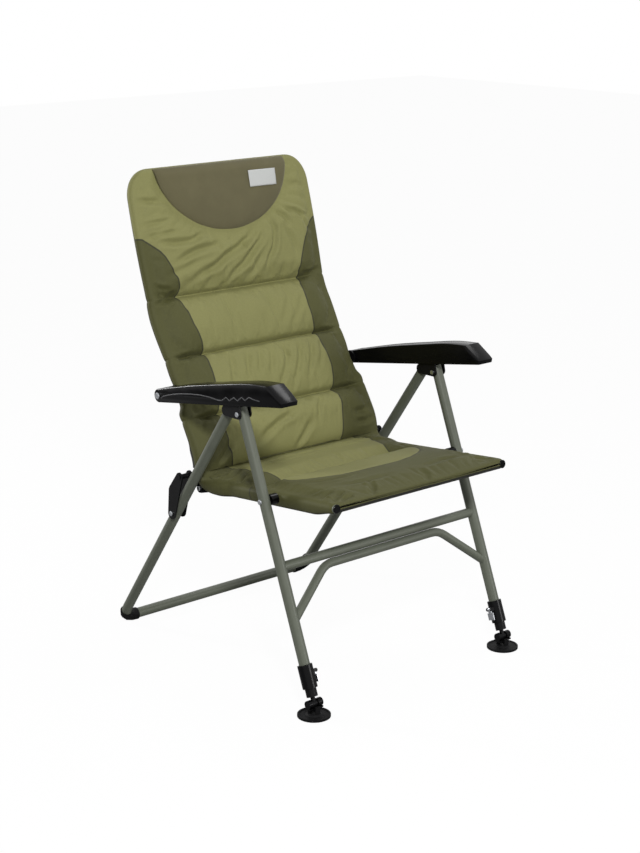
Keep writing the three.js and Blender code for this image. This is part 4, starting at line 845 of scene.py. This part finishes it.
class CARPCHAIR_OT_seat_cover(bpy.types.Operator):
    """Padded seat cover that runs on round the corner to the back"""
    bl_idname = "carp_chair.seat_cover"
    bl_label = "Seat Cover"

    def execute(self, context):
        _, cover, _ = settings()
        end = CREASE - HALF_GAP
        seam, rear = SEAT_START - SEAT_FRONT + SEAT_SEAM, SEAT_START - SEAT_FRONT + SEAT_REAR
        seams = (SEAT_START, seam, end)
        first = SEAT_START + EDGE * (1 - np.cos(np.linspace(0, 0.86, 5) * math.pi / 2))
        rows = int((end - first[-1]) / cover.grid)
        along = with_seam_rows(np.concatenate([first[:-1], np.linspace(first[-1], end, rows)]), (seam,))
        edge = rounded_end(along - SEAT_START, 0.35) + 0.0035 * eased(along, rear, rear + 0.03)
        # Wider behind the rails, over the hinge plates, and a little narrower at the very front
        half_width = SEAT_HALF + 0.007 * eased(along, rear - 0.012, rear + 0.01)
        half_width += 0.0065 * eased(along, rear, rear + 0.04)
        half_width -= 0.005 * (1 - eased(along, SEAT_START, SEAT_START + 0.014))

        def middle(x, s):
            return fullness(x, np.interp(s, along, half_width))

        def front_rise(x, s):
            fade = eased(s, SEAT_START, SEAT_START + 0.03)
            rise = middle(x, s) * fade * (cover.seat_crown * puffed(s, seams) - SINK)
            sag = 0.004 * np.clip(1 - (x / 0.25) ** 2, 0, 1) * (1 - eased(s, SEAT_START, SEAT_START + 0.12))
            draw = SEAT_SEAM_DRAW * near_seams(s, (seam,), SEAM_REACH)
            draw = draw + CREASE_DRAW * near_seams(s, (CREASE,), CREASE_REACH)
            return rise - sag - draw * np.clip(middle(x, s) * 1.6, 0, 1)

        def drop(x, s):
            """The sides hang down over the hinge plates, and the rear is thicker over the folded back."""
            hang = 0.010 * eased(s, SEAT_START + 0.01, SEAT_START + 0.08) - 0.003 * eased(s, rear, rear + 0.05)
            return np.maximum(eased(np.abs(x), *SIDE_RUN) * hang, 0.007 * eased(s, rear - 0.07, rear - 0.03))

        panel = Panel("seat_cover", along, half_width, edge, front_rise, drop, cover.grid)
        flat = panel.s - SEAT_START + SEAT_FRONT
        sewn = distance_to_border(panel.x, flat, SEAT_BORDER)
        seam_edge = np.abs(panel.s - seam)
        border = np.where(np.abs(sewn) < seam_edge, sewn, np.sign(sewn) * seam_edge)
        panel.write_maps(border, lining_level=-0.75)
        held = panel.held((seam,), (SEAT_START, end), 0.02)
        inflate(panel.piece, held.ravel(), cover.cloth_reach * 0.7, growth=0.02)
        puckers = smooth_noise(panel.x, panel.s * 0.35, 40.0, 13.0) * near_seams(panel.s, (seam,), 0.022)
        gathers = smooth_noise(panel.x * 0.2, flat, 60.0, 19.0) * eased(np.abs(panel.x), 0.2, 0.25)
        panel.lift(fold_field(panel.x, flat, SEAT_FOLDS) * cover.fold_scale + puckers * cover.pucker
                   + gathers * 0.002 + smooth_noise(panel.x * 0.5, flat * 1.2, 18.0, 17.0) * 0.0012
                   - border_sink(sewn))
        subdivide_once(panel.piece)
        panel.piece.data.materials.append(MATERIALS["cloth"])
        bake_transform(panel.piece, "seat", "back_hinge", start=(0, *(SEAT_PIVOT + 0.215 * SEAT_ALONG)),
                 end=(0, *on_line(LINE, np.array(CREASE))[0]))
        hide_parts("seat_pad", "cover_bend")
        return {"FINISHED"}


def sheet_points(x, s, rise):
    """Points over the cover's line, at each distance across, distance along and rise."""
    place, normal = on_line(LINE, s)
    return np.concatenate([x[..., None], place + rise[..., None] * normal], -1)


def grid_faces(rows, columns, start=0, flip=False):
    """Faces of a grid of points whose first number is start."""
    faces = []
    for r in range(rows - 1):
        for c in range(columns - 1):
            at = start + r * columns + c
            face = (at, at + columns, at + columns + 1, at + 1)
            faces.append(face[::-1] if flip else face)
    return faces


def closed_sheet(name, face_points, base_points):
    """A closed solid between two grids of points of the same size."""
    rows, columns = face_points.shape[:2]
    count = rows * columns
    faces = grid_faces(rows, columns) + grid_faces(rows, columns, count, True)
    rim = list(range(columns)) + [r * columns + columns - 1 for r in range(1, rows)]
    rim += [(rows - 1) * columns + c for c in range(columns - 2, -1, -1)]
    rim += [r * columns for r in range(rows - 2, 0, -1)]
    faces += [(a, b, count + b, count + a) for a, b in zip(rim, rim[1:] + rim[:1])]
    mesh = bpy.data.meshes.new(name)
    points = np.concatenate([face_points.reshape(-1, 3), base_points.reshape(-1, 3)])
    mesh.from_pydata(points.tolist(), [], faces)
    made = bmesh.new()
    made.from_mesh(mesh)
    bmesh.ops.remove_doubles(made, verts=made.verts, dist=WELD)
    bmesh.ops.recalc_face_normals(made, faces=made.faces)
    made.to_mesh(mesh)
    made.free()
    smooth_faces(mesh)
    piece = bpy.data.objects.new(name, mesh)
    bpy.context.collection.objects.link(piece)
    return piece


class CARPCHAIR_OT_head_pillow(bpy.types.Operator):
    """Half-moon head pillow on the top of the back"""
    bl_idname = "carp_chair.head_pillow"
    bl_label = "Head Pillow"

    def execute(self, context):
        # Rows from the top to the outline's lowest point, closer together where the pillow turns over
        depth = np.concatenate([np.linspace(0, 0.15, 12), np.sin(np.linspace(0.1, 1, 40) * math.pi / 2) * 0.999])
        depth = np.unique(np.round(depth, 5))
        share = np.sin(np.linspace(-1, 1, 84) * math.pi / 2)
        d, a = np.meshgrid(depth, share, indexing="ij")
        x = a * PILLOW_HALF * np.sqrt(np.clip(1 - d ** 2, 0.0004, 1))
        s = PILLOW_TOP - d * PILLOW_DEPTH
        rise = pillow_surface(x, s)
        rise = rise + smooth_noise(x, s, 22.0, 21.0) * 0.0016 * np.clip(rise / 0.03, 0, 1)
        base = np.minimum(PILLOW_REAR, rise - 0.003)
        piece = closed_sheet("head_pillow", sheet_points(x, s, rise), sheet_points(x, s, base))
        piece.data.materials.append(MATERIALS["pillow"])
        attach(piece, "back")
        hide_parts("head_rest")
        return {"FINISHED"}


class CARPCHAIR_OT_sewn_label(bpy.types.Operator):
    """Thin blank label sewn on the pillow"""
    bl_idname = "carp_chair.sewn_label"
    bl_label = "Sewn Label"

    def execute(self, context):
        _, cover, _ = settings()
        across = np.linspace(-0.5, 0.5, 25) * cover.label_width + cover.label_offset
        along = PILLOW_TOP - LABEL_DEPTH + np.linspace(0.5, -0.5, 13) * cover.label_height
        s, x = np.meshgrid(along, across, indexing="ij")
        rise = pillow_surface(x, s) + LABEL_GAP
        piece = closed_sheet("sewn_label", sheet_points(x, s, rise + LABEL_THICKNESS), sheet_points(x, s, rise))
        piece.data.materials.append(MATERIALS["label"])
        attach(piece, "back")
        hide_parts("blank_label")
        return {"FINISHED"}


# Relief line on each armrest's outer side, as (behind the rear bolt, above it) in millimetres
ARM_RELIEF = [(-10, -4), (-20, 2), (-36, 8), (-60, 15), (-85, 21), (-123, 28), (-160, 33), (-197, 35), (-228, 34),
              (-240, 36), (-255, 46), (-267, 41), (-283, 51), (-296, 46), (-310, 57), (-322, 52), (-336, 62),
              (-350, 60), (-372, 60)]
# The armrest's outer face, and the relief's half width and its rise over that face
ARM_FACE, RELIEF_HALF, RELIEF_RISE = 0.324, 0.0014, 0.0008


class CARPCHAIR_OT_arm_relief(bpy.types.Operator):
    """Raised moulded line along each armrest's outer side"""
    bl_idname = "carp_chair.arm_relief"
    bl_label = "Arm Relief"

    def execute(self, context):
        ahead = np.gradient(np.array(ARM_RELIEF, float), axis=0)
        turns = [math.atan2(-y, z) for y, z in ahead]
        for hand, sign in HANDS:
            _, back, up = JOINT_AT["armrest_fold_" + hand]
            path = [Vector((sign * ARM_FACE, back + y * MM, up + z * MM)) for y, z in ARM_RELIEF]
            select_only()
            bpy.ops.mesh.primitive_circle_add(vertices=12, radius=RELIEF_HALF, fill_type="NGON", location=path[0],
                                              rotation=(turns[0], 0, 0))
            piece = context.object
            piece.name = piece.data.name = "arm_relief_" + hand
            bpy.ops.transform.resize(value=(RELIEF_RISE / RELIEF_HALF, 1, 1))
            bpy.ops.object.transform_apply(location=True, rotation=True, scale=True)
            bpy.ops.object.mode_set(mode="EDIT")
            bpy.ops.mesh.select_all(action="SELECT")
            for i in range(1, len(path)):
                bpy.ops.mesh.extrude_region_move(TRANSFORM_OT_translate={"value": path[i] - path[i - 1]})
                bpy.ops.transform.rotate(value=turns[i - 1] - turns[i], orient_axis="X", center_override=path[i])
            bpy.ops.mesh.select_all(action="SELECT")
            bpy.ops.mesh.normals_make_consistent(inside=False)
            bpy.ops.object.mode_set(mode="OBJECT")
            bpy.ops.object.shade_smooth()
            # The relief's material is painted lighter grey, a painted highlight along the raised line
            piece.data.materials.append(MATERIALS["relief"])
            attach(piece, "armrest_" + hand)
        return {"FINISHED"}


# The armrest's washer lies nearer to the chair's middle than this, and faces that meet more sharply stay crisp
WASHER_INSIDE, CRISP_DEGREES = 0.28, 32
# The starts of the hard parts' names, with the finish that they get
FINISH_OF = (
    (("front_leg", "front_cross", "front_brace", "rear_leg", "seat_frame", "back_frame"), "paint"),
    (("apex_bolt", "seat_bolt", "link_bolt", "hinge_bolt", "arm_bolt", "lock_lever"), "zinc"),
    (("apex_bracket", "fold_link", "seat_plate", "back_plate", "inner_leg"), "coat"),
    (("rear_shoe", "mud_foot"), "rubber"),
    (("armrest", "arm_glide", "leg_collar", "foot_knuckle", "seat_spacer", "seat_cap"), "nylon"),
)


class CARPCHAIR_OT_hard_parts(bpy.types.Operator):
    """Finishes of the tubes, plates, plastics and feet"""
    bl_idname = "carp_chair.hard_parts"
    bl_label = "Hard Parts"

    def execute(self, context):
        for name, node in NODES.items():
            finish = next((f for starts, f in FINISH_OF if name.startswith(starts)), None)
            if finish is None:
                continue
            node.data.materials.clear()
            node.data.materials.append(MATERIALS[finish])
            if name.startswith("arm_bolt"):
                self.blacken_washer(node.data)
            smooth_faces(node.data)
            weld = node.modifiers.new("Weld", "WELD")
            weld.merge_threshold = WELD
            split = node.modifiers.new("Edge Split", "EDGE_SPLIT")
            split.split_angle = math.radians(CRISP_DEGREES)
            split.use_edge_sharp = False
        return {"FINISHED"}

    def blacken_washer(self, mesh):
        """The washer inside the armrest is powder-coated; only the bolt's head is bright."""
        mesh.materials.append(MATERIALS["coat"])
        for polygon in mesh.polygons:
            polygon.material_index = int(abs(polygon.center.x) < WASHER_INSIDE)


# Soft lamps: name, place, what each is turned to, diameter in metres and power in watts
LAMPS = (
    ("key_lamp", (-1.8, -2.4, 2.55), (0.0, 0.0, 0.7), 0.5, 79.0),
    ("fill_lamp", (1.6, -3.8, 1.0), (0.0, 0.0, 0.6), 1.2, 36.0),
    ("top_lamp", (1.5, 0.1, 3.1), (0.0, 0.0, 0.6), 1.0, 17.0),
    ("edge_lamp", (-1.63, 2.6, 1.24), (-0.3, 0.0, 0.66), 0.5, 40.0),
)


class CARPCHAIR_OT_studio(bpy.types.Operator):
    """Pale floor, soft lamps and the camera"""
    bl_idname = "carp_chair.studio"
    bl_label = "Studio"

    def execute(self, context):
        colours, _, stage = settings()
        scene = context.scene
        scene.view_settings.view_transform = "Standard"
        self.backdrop(context, colours)
        self.world(scene)
        for lamp in LAMPS:
            self.lamp(context, *lamp)
        camera = bpy.data.objects.new("camera", bpy.data.cameras.new("camera"))
        scene.collection.objects.link(camera)
        camera.data.lens = stage.lens
        camera.data.sensor_width = 36
        camera.data.clip_end = 50
        camera.location = (stage.camera_side, APEX[0] + stage.camera_forward, stage.camera_height)
        camera.rotation_euler = [math.radians(a) for a in stage.camera_turn]
        scene.camera = camera
        return {"FINISHED"}

    def lamp(self, context, name, place, target, size, power):
        data = bpy.data.lights.new(name, "AREA")
        data.shape = "DISK"
        data.size = size
        data.energy = power
        lamp = bpy.data.objects.new(name, data)
        lamp.visible_camera = False
        lamp.location = place
        lamp.rotation_euler = (Vector(target) - Vector(place)).to_track_quat("-Z", "Y").to_euler()
        context.scene.collection.objects.link(lamp)

    def backdrop(self, context, colours):
        """A flat floor, white to the camera but still shaded by the chair."""
        select_only()
        bpy.ops.mesh.primitive_plane_add(size=24, location=(0, 0, 0))
        floor = context.object
        floor.name = "studio_floor"
        material, tree = new_material("matt_paper_white")
        path = add(tree, "ShaderNodeLightPath")
        place = add(tree, "ShaderNodeTexCoord").outputs["Object"]
        grain = add(tree, "ShaderNodeTexNoise", {"Vector": place, "Scale": 60.0})
        bump = add(tree, "ShaderNodeBump", {"Strength": 0.02, "Distance": 0.001, "Height": grain.outputs["Fac"]})
        paper = add(tree, "ShaderNodeBsdfDiffuse", {"Color": linear(colours.floor),
                                                    "Normal": bump.outputs["Normal"]})
        # The camera sees mostly this white glow, and through it enough of the paper to show the chair's shadow
        glow = add(tree, "ShaderNodeEmission", {"Color": (1, 1, 1, 1), "Strength": 1.05})
        seen = add(tree, "ShaderNodeMath", {0: path.outputs["Is Camera Ray"], 1: 0.92}, operation="MULTIPLY")
        mixed = add(tree, "ShaderNodeMixShader", {0: seen.outputs[0], 1: paper.outputs[0], 2: glow.outputs[0]})
        close_material(tree, mixed)
        floor.data.materials.append(material)

    def world(self, scene):
        """A dim even light on the chair, and plain white to the camera and in mirrors and glass."""
        world = bpy.data.worlds.new("studio_world")
        scene.world = world
        world.use_nodes = True
        tree = world.node_tree
        tree.nodes.clear()
        path = add(tree, "ShaderNodeLightPath")
        plain = add(tree, "ShaderNodeBackground", {"Color": (1, 1, 1, 1), "Strength": 0.18})
        white = add(tree, "ShaderNodeBackground", {"Color": (1, 1, 1, 1), "Strength": 1.0})
        seen = path.outputs["Is Camera Ray"]
        for ray in ("Is Glossy Ray", "Is Transmission Ray"):
            seen = add(tree, "ShaderNodeMath", {0: seen, 1: path.outputs[ray]}, operation="MAXIMUM").outputs[0]
        mixed = add(tree, "ShaderNodeMixShader", {0: seen, 1: plain.outputs[0], 2: white.outputs[0]})
        add(tree, "ShaderNodeOutputWorld", {"Surface": mixed.outputs[0]})


OPERATORS = (
    CARPCHAIR_OT_studio,
    CARPCHAIR_OT_hard_parts,
    CARPCHAIR_OT_back_cover,
    CARPCHAIR_OT_seat_cover,
    CARPCHAIR_OT_head_pillow,
    CARPCHAIR_OT_sewn_label,
    CARPCHAIR_OT_arm_relief,
)


class CARPCHAIR_PT_sidebar(bpy.types.Panel):
    """Sizes, colours and steps of the chair's dressing"""
    bl_label = "Carp Chair"
    bl_idname = "CARPCHAIR_PT_sidebar"
    bl_space_type = "VIEW_3D"
    bl_region_type = "UI"
    bl_category = "Carp Chair"

    def draw(self, context):
        for group in settings():
            box = self.layout.box()
            for name in group.__annotations__:
                box.prop(group, name)
        for operator in OPERATORS:
            self.layout.operator(operator.bl_idname)


GROUPS = (CarpChairColours, CarpChairCover, CarpChairStage)


def register():
    """Adds the classes and their settings."""
    for item in GROUPS + OPERATORS + (CARPCHAIR_PT_sidebar,):
        bpy.utils.register_class(item)
    bpy.types.Scene.carp_chair_colours = PointerProperty(type=CarpChairColours)
    bpy.types.Scene.carp_chair_cover = PointerProperty(type=CarpChairCover)
    bpy.types.Scene.carp_chair_stage = PointerProperty(type=CarpChairStage)


def unregister():
    """Takes the classes and their settings away again."""
    del bpy.types.Scene.carp_chair_stage
    del bpy.types.Scene.carp_chair_cover
    del bpy.types.Scene.carp_chair_colours
    for item in reversed(GROUPS + OPERATORS + (CARPCHAIR_PT_sidebar,)):
        bpy.utils.unregister_class(item)


def main():
    """Dresses the chair."""
    register()
    finish_materials()
    for operator in OPERATORS:
        group, name = operator.bl_idname.split(".")
        getattr(getattr(bpy.ops, group), name)()


if __name__ == "__main__":
    main()
